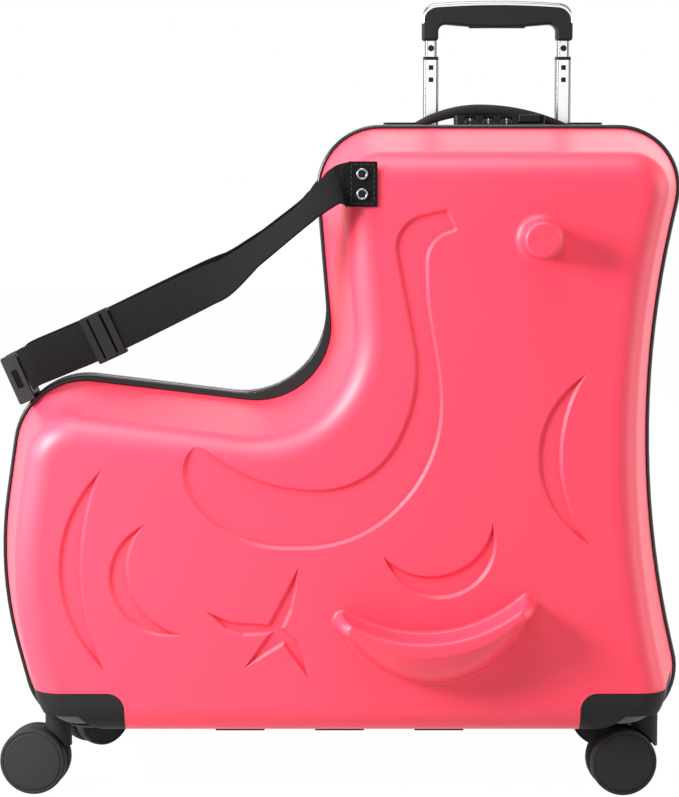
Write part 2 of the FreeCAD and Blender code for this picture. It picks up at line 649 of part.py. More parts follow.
def caster(name, x, side, turn):
    # twin-wheel caster on a fixed kingpin; its own model runs along -X and is turned into place
    frame = FreeCAD.Placement(Vec(x, side * S.caster_y, 0), FreeCAD.Rotation(Vec(0, 0, 1), turn))
    back = -S.caster_trail
    half = S.fork_web / 2
    column = cylinder(name + "_column", "fork_radius", "fork_top - fork_low", (0, 0, S.fork_low), frame=frame)
    hollow_base = (back, -S.fork_radius, S.wheel_radius)
    hollow = cylinder(name + "_hollow", "wheel_radius + arch_gap", "2 * fork_radius", hollow_base, "Y", frame)
    arch = cut(name + "_arch", column, hollow)
    inset = S.fork_radius - S.wall
    roof = S.fork_top - S.fork_radius
    outline = [
        (inset, S.fork_low + S.wall), (inset, roof), (-inset, roof), (back - S.fork_boss, S.wheel_radius),
        (back + S.fork_boss, S.wheel_radius - half),
    ]
    corners = [Vec(px, -half, pz) for px, pz in outline]
    web = solid(name + "_web", Part.Face(Part.makePolygon(corners + corners[:1])).extrude(Vec(0, 2 * half, 0)))
    web.Placement = frame
    boss_base = (back, -half, S.wheel_radius)
    boss = cylinder(name + "_boss", "fork_boss", "fork_web", boss_base, "Y", frame)
    blank = joined(name + "_blank", arch, web, boss)
    bore_low = S.kingpin_low - S.run_clear
    pivot = cylinder(name + "_pivot", "kingpin_radius + pin_clear", "kingpin_top", (0, 0, bore_low), frame=frame)
    hole_base = (back, -2 * half, S.wheel_radius)
    axle_hole = cylinder(name + "_axle_hole", "axle_radius", "2 * fork_web", hole_base, "Y", frame)
    node(name + "_fork", cut(name + "_fork_cut", blank, pivot, axle_hole))
    pin_base = (0, 0, S.kingpin_low)
    pin = cylinder(name + "_pin", "kingpin_radius", "kingpin_top - kingpin_low", pin_base, frame=frame)
    node(name + "_kingpin", pin)
    rod_base = (back, -S.axle_reach, S.wheel_radius)
    node(name + "_axle", cylinder(name + "_rod", "axle_radius", "2 * axle_reach", rod_base, "Y", frame))
    discs = []
    for sign in (-1, 1):
        near = S.wheel_gap / 2
        start = near if sign > 0 else -near - S.wheel_width
        tyre_base = (back, start, S.wheel_radius)
        tyre = cylinder(f"{name}_tyre{sign + 1}", "wheel_radius", "wheel_width", tyre_base, "Y", frame)
        rim = softened(f"{name}_disc{sign + 1}", tyre, S.wheel_soften, lambda edge: edge.isClosed())
        sunk = sign * (near + S.wheel_width - S.hub_sunk)
        dish_start = sunk if sign > 0 else sunk - S.wheel_width
        dish_base = (back, dish_start, S.wheel_radius)
        dish = cylinder(f"{name}_dish{sign + 1}", "hub_recess", "wheel_width", dish_base, "Y", frame)
        hole_start = 0 if sign > 0 else -S.axle_reach - S.run_clear
        hole = cylinder(f"{name}_hole{sign + 1}", "axle_radius + pin_clear", "axle_reach + run_clear",
                        (back, hole_start, S.wheel_radius), "Y", frame)
        discs.append(cut(f"{name}_wheel{sign + 1}", rim, dish, hole))
    node(name + "_wheels", grouped(name + "_wheel_pair", *discs))


TUBE_X = "upper_tube_x + {0} * tube_clear + {1} * tube_wall"
TUBE_Y = "upper_tube_y + {0} * tube_clear + {1} * tube_wall"


def tube(name, clears, walls, low, tall, x):
    # rectangular tube, its outside a number of clearances and walls larger than the upper tube
    place = (x, S.trolley_y, low)
    outside = (TUBE_X.format(clears, walls), TUBE_Y.format(clears, walls))
    inside = (TUBE_X.format(clears, walls - 2), TUBE_Y.format(clears, walls - 2))
    outer = upright(name + "_out", *outside, tall, place, S.tube_round)
    inner = upright(name + "_in", *inside, tall, place, S.tube_round / 2)
    return cut(name, outer, inner)


def trolley(rear_form):
    spots = [S.trolley_x - S.tube_pitch / 2, S.trolley_x + S.tube_pitch / 2]
    guides = [tube(f"guide{i}", 4, 4, S.guide_bottom, "guide_top - guide_bottom", x) for i, x in enumerate(spots)]
    node("trolley_guides", grouped("guides", *guides))
    lowers = []
    catches = []
    collars = []
    uppers = []
    pins = []
    for i, x in enumerate(spots):
        body = tube(f"lower{i}", 2, 2, S.lower_bottom, "lower_top - lower_bottom", x)
        front = S.trolley_y - S.upper_tube_y
        holes = []
        for drop in ("catch_drop_one", "catch_drop_two"):
            middle = S.lower_top - float(sheet.get(drop))
            corner = (x - S.catch_size / 2, front, middle - S.catch_size / 2)
            holes.append(box(f"lower{i}_{drop}", ("catch_size", "upper_tube_y", "catch_size"), corner))
            wall = (corner[0], S.trolley_y - S.upper_tube_y / 2 - S.tube_clear - S.tube_wall, corner[2])
            catches.append(box(f"catch{i}_{drop}", ("catch_size", "tube_wall", "catch_size"), wall))
        lowers.append(cut(f"lower{i}_caught", body, *holes))
        collars.append(tube(f"collar{i}", 2, 2, S.lower_top, "collar_height", x))
        uppers.append(tube(f"upper{i}", 0, 0, S.upper_bottom, "grip_bottom + grip_socket - upper_bottom", x))
        face = S.trolley_y - S.upper_tube_y / 2
        place = (x, face - S.grip_pin_proud, S.grip_pin_z)
        pins.append(cylinder(f"pin{i}", "grip_pin_radius", "grip_pin_proud + tube_wall", place, "Y"))
    node("lower_tubes", grouped("lowers", *lowers))
    node("lower_catches", grouped("catches", *catches))
    node("lower_collars", grouped("collars", *collars))
    bored = [cut(f"upper{i}_bored", part, pin) for i, (part, pin) in enumerate(zip(uppers, pins))]
    node("upper_tubes", grouped("uppers", *bored))
    node("grip_pins", grouped("pins", *pins))
    gap = 2 * S.bezel_hole_gap
    bezel_low = S.guide_top - S.wall - S.tube_seat - 2 * S.bezel_margin
    outer = TUBE_X.format(4, 4)
    outer_y = TUBE_Y.format(4, 4)
    plate = upright("bezel_plate", f"tube_pitch + {outer} + 2 * bezel_margin", f"{outer_y} + 2 * bezel_side",
                    f"bezel_top - {bezel_low}", (S.trolley_x, S.trolley_y, bezel_low), S.tube_round)
    ways = [upright(f"bezel_way{i}", f"{outer} + {gap}", f"{outer_y} + {gap}", "guide_top",
                    (x, S.trolley_y, S.lower_bottom), S.tube_round) for i, x in enumerate(spots)]
    node("trolley_bezel", cut("bezel", plate, rear_form, *ways))
    back = S.half_depth - S.wall
    near = S.trolley_y - S.upper_tube_y / 2 - S.tube_seat
    foot = box("bracket_block", (f"tube_pitch + {outer} + 2 * bracket_margin", f"half_depth - wall - {near}",
                                 "bracket_height + tube_seat"), (0, 0, 0))
    doc.recompute()
    left = S.trolley_x - foot.Length.Value / 2
    foot.Placement.Base = Vec(left, back - foot.Width.Value, S.guide_bottom - S.tube_seat)
    seats = [upright(f"bracket_seat{i}", outer, outer_y, "guide_top", (x, S.trolley_y, S.guide_bottom), S.tube_round)
             for i, x in enumerate(spots)]
    node("trolley_bracket", cut("bracket", foot, *seats))


def crown_corner(raised):
    # middle corner of the arched top of the grip, raised by an amount
    return 0.0, S.grip_top + raised, S.crown_bend + raised


def at_trolley(corners):
    return [(S.trolley_x + x, z, radius) for x, z, radius in corners]


def grip():
    half = S.grip_length / 2
    leg = half - S.grip_leg
    under = S.grip_top - S.grip_bar
    shoulder = S.grip_top - S.grip_crown
    soft = S.grip_inner_round
    end = S.grip_end_round
    corners = at_trolley([
        (-half, S.grip_bottom, end), (-leg, S.grip_bottom, end), (-leg, under, soft),
        (0.0, under - S.grip_belly, S.belly_bend), (leg, under, soft), (leg, S.grip_bottom, end),
        (half, S.grip_bottom, end), (half, shoulder, S.grip_round), crown_corner(0.0),
        (-half, shoulder, S.grip_round),
    ])
    near = S.trolley_y - S.grip_depth / 2
    bar = Part.Face(rim_wire(corners, near)).extrude(Vec(0, S.grip_depth, 0))
    rims = [e for e in bar.Edges if at_depth(e, near) or at_depth(e, near + S.grip_depth)]
    blank = solid("grip", bar.makeFillet(S.grip_soften, rims))
    inner = half - S.strip_side
    brow = shoulder - S.strip_thick
    low = S.grip_bottom - S.grip_bar
    sharp = S.sharp
    below = at_trolley([
        (-S.grip_length, low, sharp), (S.grip_length, low, sharp), (S.grip_length, S.strip_end, sharp),
        (inner, S.strip_end, sharp), (inner, brow, S.grip_round), crown_corner(-S.strip_thick),
        (-inner, brow, S.grip_round), (-inner, S.strip_end, sharp), (-S.grip_length, S.strip_end, sharp),
    ])
    mould = solid("grip_mould", prism(below, near - S.wall, near + S.grip_depth + S.wall))
    node("grip_strip", cut("strip", blank, mould))
    sockets = []
    for sign in (-1, 1):
        place = (S.trolley_x + sign * S.tube_pitch / 2, S.trolley_y, S.grip_bottom - S.grip_socket)
        sockets.append(upright(f"grip_socket{sign + 1}", TUBE_X.format(0, 0), TUBE_Y.format(0, 0), "2 * grip_socket",
                               place, S.tube_round))
    slope = math.atan2(S.grip_belly, leg)
    belly = under - S.grip_belly + S.belly_bend * (1 / math.cos(slope) - 1)
    button_low = belly - S.button_proud
    corner = (S.trolley_x - S.button_length / 2, S.trolley_y - S.button_depth / 2, button_low)
    button = box("button_block", ("button_length", "button_depth", "button_height"), corner)
    gap = S.run_clear
    slot = box("button_slot", ("button_length + 2 * run_clear", "button_depth + 2 * run_clear",
                               "button_height + button_travel + run_clear"),
               (corner[0] - gap, corner[1] - gap, corner[2]))
    node("grip", cut("grip_cut", common("grip_black", blank, mould), slot, *sockets))
    node("release_button", softened("button", button, S.button_soften,
                                    lambda edge: edge.BoundBox.ZMax < button_low + 0.01))


def carry_handle(rear_form):
    # lopsided arch over the top, its ends set in two anchor blocks
    rise = S.carry_peak_z - S.rim_top + S.carry_sunk
    peak = Vec(S.carry_peak_x, 0, S.carry_peak_z)

    def quarter(end_x, inner):
        run = abs(end_x - peak.x)
        radius = (run * run + rise * rise) / (2 * rise)
        sign = 1 if end_x > peak.x else -1
        sweep = math.asin(run / radius)
        used = radius - inner
        centre = peak - Vec(0, 0, radius)
        return [centre + Vec(sign * used * math.sin(a), 0, used * math.cos(a)) for a in (0, sweep / 2, sweep)]

    outer_left = quarter(S.carry_left, 0.0)
    outer_right = quarter(S.carry_right, 0.0)
    inner_left = quarter(S.carry_left, S.carry_thick)
    inner_right = quarter(S.carry_right, S.carry_thick)
    edges = [
        Part.Arc(*reversed(outer_left)).toShape(), Part.Arc(*outer_right).toShape(),
        Part.LineSegment(outer_right[2], inner_right[2]).toShape(), Part.Arc(*reversed(inner_right)).toShape(),
        Part.Arc(*inner_left).toShape(), Part.LineSegment(inner_left[2], outer_left[2]).toShape(),
    ]
    arch = Part.Face(Part.Wire(edges)).extrude(Vec(0, S.carry_width, 0))
    arch.translate(Vec(0, S.carry_y - S.carry_width / 2, 0))
    strap = cut("carry_arch", solid("carry_arch", arch), rear_form)
    node("carry_handle", strap)
    blocks = []
    for i, x in enumerate((S.carry_left, S.carry_right)):
        place = (x, S.carry_y, S.rim_top - S.anchor_sunk)
        blocks.append(upright(f"anchor{i}", "anchor_length", "anchor_width", "anchor_sunk + anchor_height", place,
                              S.anchor_round))
    pair = grouped("anchor_pair", *blocks)
    node("handle_anchors", cut("anchors", pair, rear_form, strap))


def lock(rear_form):
    base = S.rim_top - S.lock_depth / 2
    right = S.lock_left + S.lock_length
    block = upright("lock_block", "lock_length", "lock_depth", f"lock_top - {base}",
                    ((S.lock_left + right) / 2, S.lock_front + S.lock_depth / 2, base), S.lock_round)
    tools = [rear_form]
    spots = [S.lock_left + S.dial_first + i * S.dial_pitch for i in range(3)]
    for i, x in enumerate(spots):
        slot_corner = (x - S.dial_width / 2 - S.dial_gap, 0, S.dial_z - S.dial_radius - S.dial_gap)
        tools.append(box(f"dial_slot{i}", ("dial_width + 2 * dial_gap", "dial_y + dial_radius + dial_gap",
                                           "2 * dial_radius + 2 * dial_gap"), slot_corner))
    rod_left = S.lock_left + S.lock_round
    rod = ("spindle_radius", "dial_first + 2 * dial_pitch + dial_width / 2 - lock_round / 2")
    node("lock_spindle", cylinder("spindle", *rod, (rod_left, S.dial_y, S.dial_z), "X"))
    tools.append(cylinder("spindle_bore", *rod, (rod_left, S.dial_y, S.dial_z), "X"))
    for i, x in enumerate(spots):
        left = x - S.dial_width / 2
        drum = cylinder(f"dial_drum{i}", "dial_radius", "dial_width", (left, S.dial_y, S.dial_z), "X")
        soft = softened(f"dial_soft{i}", drum, S.dial_soften,
                        lambda edge: edge.isClosed() and edge.BoundBox.XLength < 0.01)
        middle = (left, S.dial_y, S.dial_z)
        hole = cylinder(f"dial_hole{i}", "spindle_radius + pin_clear", "dial_width", middle, "X")
        node(f"lock_dial_{i + 1}", cut(f"dial{i}", soft, hole))
    middle = S.lock_left + S.lock_button_x
    corner = (middle - S.lock_button_length / 2, S.lock_front - S.lock_button_proud,
              S.lock_top + S.lock_button_proud - S.lock_button_height)
    knob = box("lock_button_block", ("lock_button_length", "lock_button_width", "lock_button_height"), corner)

    def outward(edge):
        return edge.BoundBox.YMax < corner[1] + 0.01 or edge.BoundBox.ZMin > S.lock_top

    node("lock_button", softened("lock_knob", knob, S.lock_button_soften, outward))
    gap = S.dial_gap
    tools.append(box("lock_button_slot", ("lock_button_length + lock_button_travel + 2 * dial_gap",
                                          "lock_button_width + 2 * dial_gap", "lock_button_height + 2 * dial_gap"),
                     (corner[0] - gap, corner[1] - gap, corner[2] - gap)))
    node("lock_body", cut("lock_cut", block, *tools))
    pulls = []
    for i in range(2):
        corner = (S.slider_left + i * S.slider_pitch, -S.slider_width / 2, S.rim_top + S.trim_proud - S.zip_sink)
        pulls.append(box(f"slider{i}", ("slider_length", "slider_width", "slider_height"), corner))
    node("zip_sliders", grouped("sliders", *pulls))


# Strap from the tab to the buckle: x, distance from the middle, z and roll about its own length.
WEB_PATH = [
    (5.9, 111.3, 432.3, 0.0), (-5.1, 112.5, 428.3, 25.0), (-18.4, 112.0, 417.1, 50.0), (-30.1, 108.0, 406.7, 54.0),
    (-57.6, 93.0, 384.5, 52.0), (-80.0, 80.0, 366.6, 32.0), (-98.0, 70.0, 358.0, 22.0), (-166.9, 47.0, 324.1, 0.0),
    (-199.8, 39.0, 309.7, 0.0), (-224.2, 33.0, 299.5, 0.0), (-232.7, 27.0, 294.5, 0.0),
]
ADJUSTER_AT = 7


def buckle_frame():
    # length of the buckle along Y, its width leaning back over the tail
    lean = math.radians(S.buckle_lean)
    across = Vec(math.sin(lean), 0, math.cos(lean))
    return across, Vec(across.z, 0, -across.x)


def web_sections(side):
    # rectangles square to the path, upright at the tab, leaning with the buckle further on and rolled
    points = [Vec(x, side * y, z) for x, y, z, roll in WEB_PATH]
    across, face = buckle_frame()
    found = []
    for i, point in enumerate(points):
        along = points[min(i + 1, len(points) - 1)] - points[max(i - 1, 0)]
        wide = across
        if i == 0:
            along = Vec(-1, 0, 0)
            wide = Vec(0, 0, 1)
        if i == len(points) - 1:
            along = Vec(0, -side, 0)
        along.normalize()
        wide = wide - along * wide.dot(along)
        wide.normalize()
        roll = math.radians(WEB_PATH[i][3])
        wide = wide * math.cos(roll) - along.cross(wide) * (side * math.sin(roll))
        found.append((point, along, wide, along.cross(wide)))
    return found


def slab(centre, along, wide, thick, sizes):
    # block with its own three directions, centred on a point
    length, width, depth = sizes
    corner = centre - along * (length / 2) - wide * (width / 2) - thick * (depth / 2)
    loop = [corner, corner + wide * width, corner + wide * width + thick * depth, corner + thick * depth, corner]
    return Part.Face(Part.makePolygon(loop)).extrude(along * length)


def belt(name, side):
    outside = S.half_depth + S.web_seat_gap
    near = side * outside
    far = side * (outside + S.web_thick)
    tab_corner = (S.tab_x, min(near, far), S.tab_z - S.tab_width / 2)
    tab = box(name + "_tab_block", ("tab_length", "web_thick", "tab_width"), tab_corner)
    rivets = []
    holes = []
    for i, sign in enumerate((-1, 1)):
        x = S.tab_x + S.rivet_inset
        z = S.tab_z + sign * S.rivet_pitch / 2
        start = far if side == REAR else far - S.rivet_head
        cap = cylinder(f"{name}_cap{i}", "rivet_radius", "rivet_head", (x, start, z), "Y")
        crest = far + side * S.rivet_head
        dome = softened(f"{name}_dome{i}", cap, S.rivet_head / 2, lambda edge: at_depth(edge, crest))
        shank_base = (x, min(near, far), z)
        shank = cylinder(f"{name}_shank{i}", "rivet_radius / 2", "web_thick", shank_base, "Y")
        holes.append(cylinder(f"{name}_rivet_hole{i}", "rivet_radius / 2", "web_thick", shank_base, "Y"))
        rivets.append(joined(f"{name}_rivet{i}", dome, shank))
    node(name + "_belt_rivets", grouped(name + "_rivets", *rivets))
    node(name + "_belt_tab", cut(name + "_tab", tab, *holes))
    inside = S.half_depth - S.wall - S.run_clear
    start = side * inside - (0 if side == REAR else S.wall + S.run_clear + S.web_seat_gap)
    post_base = (S.swivel_x, start, S.swivel_z)
    post = cylinder(name + "_post", "swivel_radius", "wall + run_clear + web_seat_gap", post_base, "Y")
    start = side * inside - (S.flange_thick if side == REAR else 0)
    flange = cylinder(name + "_flange", "swivel_flange", "flange_thick", (S.swivel_x, start, S.swivel_z), "Y")
    node(name + "_belt_swivel", joined(name + "_swivel", post, flange))
    sections = web_sections(side)
    loops = []
    for point, along, wide, thick in sections:
        a = point - wide * (S.web_width / 2) - thick * (S.web_thick / 2)
        b = a + wide * S.web_width
        loops.append(Part.makePolygon([a, b, b + thick * S.web_thick, a + thick * S.web_thick, a]))
    web = Part.makeLoft(loops, True, True)
    node(name + "_strap", solid(name + "_strap", web))
    if side == FRONT:
        point, along, wide, thick = sections[ADJUSTER_AT]
        frame = slab(point, along, wide, thick, (S.adjuster_length, S.adjuster_width, S.adjuster_thick))
        node("belt_adjuster", solid("belt_adjuster", frame.cut(web)))
    across, face = buckle_frame()
    centre = Vec(S.buckle_x, 0, S.buckle_z)
    y_dir = Vec(0, 1, 0)
    spread = S.buckle_width / 2 - S.prong_width - S.prong_clear
    if side == FRONT:
        start = S.plug_gap / 2
        block = slab(centre - y_dir * (start + S.socket_length / 2), y_dir, across, face,
                     (S.socket_length, S.buckle_width, S.buckle_thick))
        clear = 2 * S.prong_clear
        depth = 2 * (S.prong_length + clear)
        hollow = slab(centre, y_dir, across, face,
                      (depth, 2 * spread + S.prong_width + clear, S.prong_thick + clear))
        node("buckle_socket", solid("buckle_socket", block.cut(hollow).cut(web)))
        return
    start = S.plug_gap / 2
    block = slab(centre + y_dir * (start + S.plug_length / 2), y_dir, across, face,
                 (S.plug_length, S.buckle_width, S.buckle_thick))
    plug = block
    for sign in (-1, 1):
        place = centre + across * (sign * spread) - y_dir * (S.prong_length / 2 - start - S.prong_root / 2)
        prong = slab(place, y_dir, across, face, (S.prong_length + S.prong_root, S.prong_width, S.prong_thick))
        plug = plug.fuse(prong)
    node("buckle_plug", solid("buckle_plug", plug.removeSplitter().cut(web)))


def swivel_hole(name, side):
    base = (S.swivel_x, side * S.half_depth - S.swivel_bore / 2, S.swivel_z)
    return cylinder(name + "_swivel_hole", "swivel_radius + pin_clear", "swivel_bore", base, "Y")


forms = {name: form(name, side) for name, side in SIDES.items()}
for half, side in SIDES.items():
    blank = shell(half + "_shell", side)
    tools = [swivel_hole(half, side)]
    if side == REAR:
        for sign in (-1, 1):
            spot = (S.trolley_x + sign * S.tube_pitch / 2, S.trolley_y, S.rim_top - S.way_sunk)
            tools.append(upright(f"tube_way{sign + 1}", TUBE_X.format(4, 4) + " + 2 * bezel_hole_gap",
                                 TUBE_Y.format(4, 4) + " + 2 * bezel_hole_gap", "way_height", spot, S.tube_round))
    node(half + "_shell", cut(half + "_shell_cut", blank, *tools))
    node(half + "_trim", solid(half + "_trim", trim(side)))
    node(half + "_zip", solid(half + "_zip", zip_half(side)))
    hinge_leaf(half + "_hinge_leaf", side)
    belt(half, side)
    for left in (True, False):
        name = f"{half}_{'left' if left else 'right'}"
        guard(name + "_guard", left, side, forms[half])
        caster(name, S.caster_left if left else S.caster_right, side, float(sheet.get(name + "_turn")))
node("hinge_pin", cylinder("hinge_rod", "hinge_pin_radius", "hinge_length", (S.hinge_left, 0, S.hinge_z), "X"))
trolley(forms["rear"])
grip()
carry_handle(forms["rear"])
lock(forms["rear"])
doc.recompute()

failed = [thing.Name for thing in doc.Objects if "Invalid" in thing.State or "Error" in thing.State]
for label, thing in NODES.items():
    shape = thing.Shape
    if shape.isNull() or not shape.isValid() or not shape.Solids:
        failed.append(label)
if failed:
    raise RuntimeError("not sound: " + ", ".join(failed))
os.makedirs("parts", exist_ok=True)
for label, thing in NODES.items():
    thing.Shape.exportStep(f"parts/{label}.step")
print(len(NODES), "nodes")
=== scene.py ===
import json
import math

import bmesh
import bpy
import numpy as np
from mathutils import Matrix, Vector


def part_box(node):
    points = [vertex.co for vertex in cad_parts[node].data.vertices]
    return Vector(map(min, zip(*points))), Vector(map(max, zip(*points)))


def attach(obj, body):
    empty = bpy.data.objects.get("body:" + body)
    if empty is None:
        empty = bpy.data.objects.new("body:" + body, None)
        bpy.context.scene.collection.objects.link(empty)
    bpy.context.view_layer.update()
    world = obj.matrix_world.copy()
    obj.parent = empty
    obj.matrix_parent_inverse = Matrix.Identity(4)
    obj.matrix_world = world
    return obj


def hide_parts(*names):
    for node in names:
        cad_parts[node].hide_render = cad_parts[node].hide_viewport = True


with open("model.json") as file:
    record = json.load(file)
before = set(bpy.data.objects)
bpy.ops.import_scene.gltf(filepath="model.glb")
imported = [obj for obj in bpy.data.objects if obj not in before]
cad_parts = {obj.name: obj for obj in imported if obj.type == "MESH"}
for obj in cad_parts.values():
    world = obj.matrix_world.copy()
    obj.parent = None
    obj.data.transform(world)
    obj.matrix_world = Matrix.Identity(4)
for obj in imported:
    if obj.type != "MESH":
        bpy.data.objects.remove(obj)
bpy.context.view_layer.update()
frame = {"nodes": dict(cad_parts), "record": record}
mm = 0.001
halves = {"front": -1, "rear": 1}
ends = ("left", "right")
print("frame loaded,", len(frame["nodes"]), "nodes")


class Value:
    # a shader socket that can stand in sums

    def __init__(self, shader, socket):
        self.shader = shader
        self.socket = socket

    def sum(self, operation, first, second):
        return self.shader.node("ShaderNodeMath", {"operation": operation}, {0: first, 1: second})

    def __add__(self, other):
        return self.sum("ADD", self, other)

    def __radd__(self, other):
        return self.sum("ADD", other, self)

    def __rsub__(self, other):
        return self.sum("SUBTRACT", other, self)

    def __mul__(self, other):
        return self.sum("MULTIPLY", self, other)

    def __rmul__(self, other):
        return self.sum("MULTIPLY", other, self)

    def __gt__(self, other):
        return self.sum("GREATER_THAN", self, other)

    def __abs__(self):
        return self.sum("ABSOLUTE", self, 0.0)

    def sine(self):
        return self.sum("SINE", self, 0.0)


class Shader:
    # a material with one Principled shader, whose nodes are added from expressions

    def __init__(self, name, **plain):
        self.material = bpy.data.materials.new(name)
        self.material.use_nodes = True
        self.tree = self.material.node_tree
        self.tree.nodes.clear()
        self.skin = self.tree.nodes.new("ShaderNodeBsdfPrincipled")
        self.out = self.tree.nodes.new("ShaderNodeOutputMaterial")
        self.tree.links.new(self.skin.outputs[0], self.out.inputs[0])
        self.set(**plain)

    def node(self, kind, settings=None, inputs=None, output=0):
        made = self.tree.nodes.new(kind)
        for key, value in (settings or {}).items():
            setattr(made, key, value)
        for key, value in (inputs or {}).items():
            self.feed(made.inputs[key], value)
        return Value(self, made.outputs[output])

    def feed(self, socket, value):
        if isinstance(value, Value):
            self.tree.links.new(value.socket, socket)
        else:
            socket.default_value = value

    def set(self, **sockets):
        # socket names in camelCase, such as baseColor for Base Color
        for key, value in sockets.items():
            words = "".join(" " + c if c.isupper() else c for c in key).title()
            if words in ("Base Color", "Emission Color") and not isinstance(value, Value):
                value = (*value, 1.0)
            self.feed(self.skin.inputs[words.replace("Ior", "IOR")], value)

    def place(self, scale=(1.0, 1.0, 1.0), coords="Object"):
        kinds = ["Generated", "Normal", "UV", "Object"]
        where = self.node("ShaderNodeTexCoord", output=kinds.index(coords))
        return self.node("ShaderNodeMapping", {}, {"Vector": where, "Scale": scale})

    def noise(self, size, detail, stretch=(1.0, 1.0, 1.0)):
        # cloudy pattern from 0 to 1 whose blotches are about size metres across
        where = self.place(tuple(s / size for s in stretch))
        return self.node("ShaderNodeTexNoise", {}, {"Vector": where, "Scale": 1.0, "Detail": detail})

    def axis(self, vector, letter):
        return self.node("ShaderNodeSeparateXYZ", {}, {0: vector}, "XYZ".index(letter))

    def mixed(self, factor, one, two):
        made = self.tree.nodes.new("ShaderNodeMix")
        made.data_type = "RGBA"
        self.feed(made.inputs[0], factor)
        for socket, colour in ((made.inputs[6], one), (made.inputs[7], two)):
            self.feed(socket, colour if isinstance(colour, Value) else (*colour, 1.0))
        return Value(self, made.outputs[2])

    def bump(self, height, depth, strength=1.0):
        sockets = {"Height": height, "Distance": depth, "Strength": strength}
        self.set(normal=self.node("ShaderNodeBump", {}, sockets))


def shellPink():
    # glossy moulded pink, with painted shade that darkens it in its creases
    look = {"pink": (0.98, 0.05, 0.105), "deep": (0.96, 0.045, 0.098), "dark": (0.6, 0.012, 0.035),
            "grain": 0.0006, "crease": 0.005, "shade": 1.8}
    s = Shader("shell pink", coatWeight=0.35, coatRoughness=0.36, specularIorLevel=0.5)
    clouds = s.noise(0.12, 3.0)
    # painted shade: ambient occlusion mixes the pink towards a dark red in creases and along recess edges
    free = s.node("ShaderNodeAmbientOcclusion", {"samples": 8, "only_local": True},
                  {"Distance": look["crease"]}, 1)
    clean = s.mixed(clouds, look["pink"], look["deep"])
    s.set(baseColor=s.mixed((1.0 - free) * look["shade"], clean, look["dark"]))
    fine = s.noise(look["grain"], 1.0)
    s.set(roughness=0.5 + 0.05 * s.noise(0.03, 4.0))
    s.bump(fine, 0.00002, 0.5)
    return s.material


def blackPlastic(name, tone, rough, grain, depth, shine=0.14):
    # moulded black plastic with a pebbled grain
    s = Shader(name, specularIorLevel=shine)
    worn = s.noise(0.02, 5.0)
    s.set(baseColor=s.mixed(worn, (tone, tone, tone * 1.05), (tone * 1.5, tone * 1.5, tone * 1.55)))
    pebbles = s.node("ShaderNodeTexVoronoi", {"feature": "SMOOTH_F1"},
                     {"Vector": s.place((1 / grain,) * 3), "Scale": 1.0, "Smoothness": 0.6})
    s.set(roughness=rough + 0.12 * s.noise(0.008, 3.0))
    s.bump(pebbles, depth)
    return s.material


def brightMetal(name, colour, rough, brush, metal=0.8, paintedShade=None):
    # plated or polished metal with fine lines along Z; faces turned along the given axis get a painted dark
    # reflection
    look = {"line": 0.0004, "turned": 0.12, "dark": (0.02, 0.02, 0.022)}
    s = Shader(name, metallic=metal)
    lines = s.noise(look["line"], 3.0, stretch=(1.0, 1.0, brush))
    tone = s.mixed(lines, colour, tuple(c * 0.9 for c in colour))
    if paintedShade:
        letter, share = paintedShade
        # painted dark reflection: faces turned along this axis are mixed towards a dark colour
        side = abs(s.axis(s.place(coords="Normal"), letter)) > look["turned"]
        tone = s.mixed(side * share, tone, look["dark"])
    s.set(baseColor=tone)
    s.set(roughness=rough + 0.1 * lines)
    s.bump(lines, 0.000004, 0.6)
    return s.material


def lining():
    # plain woven cloth, its threads along the three axes
    look = {"thread": 0.0014, "low": (0.05, 0.05, 0.055), "high": (0.11, 0.11, 0.118)}
    s = Shader("grey lining", roughness=0.9, sheenWeight=0.2)
    where = s.place((math.pi / look["thread"],) * 3)
    weave = 1.0
    for letter in "XYZ":
        weave = weave * (0.4 + 0.6 * abs(s.axis(where, letter).sine()))
    s.set(baseColor=s.mixed(weave, look["low"], look["high"]))
    s.bump(weave, 0.0002)
    return s.material


def paint(name, colour, rough):
    s = Shader(name, baseColor=colour)
    s.set(roughness=rough + 0.1 * s.noise(0.003, 3.0))
    return s.material


def webbing():
    # woven tape: diagonal twill ribs with darker gaps, on the strap's own UV in millimetres
    look = {"pitch": 1.6, "slant": 0.5, "thread": 0.55, "black": (0.003, 0.003, 0.0033),
            "grey": (0.009, 0.009, 0.0095)}
    s = Shader("black webbing", specularIorLevel=0.1)
    uv = s.place(coords="UV")
    across = s.axis(uv, "Y")
    rib = abs(((s.axis(uv, "X") + across * look["slant"]) * (math.pi / look["pitch"])).sine())
    thread = abs((across * (math.pi / look["thread"])).sine())
    weave = rib * 0.7 + thread * 0.3
    fuzz = s.noise(0.004, 4.0)
    s.set(baseColor=s.mixed(weave * (0.6 + 0.5 * fuzz), look["black"], look["grey"]))
    s.set(roughness=0.78 + 0.12 * fuzz)
    s.bump(weave, 0.00025)
    return s.material


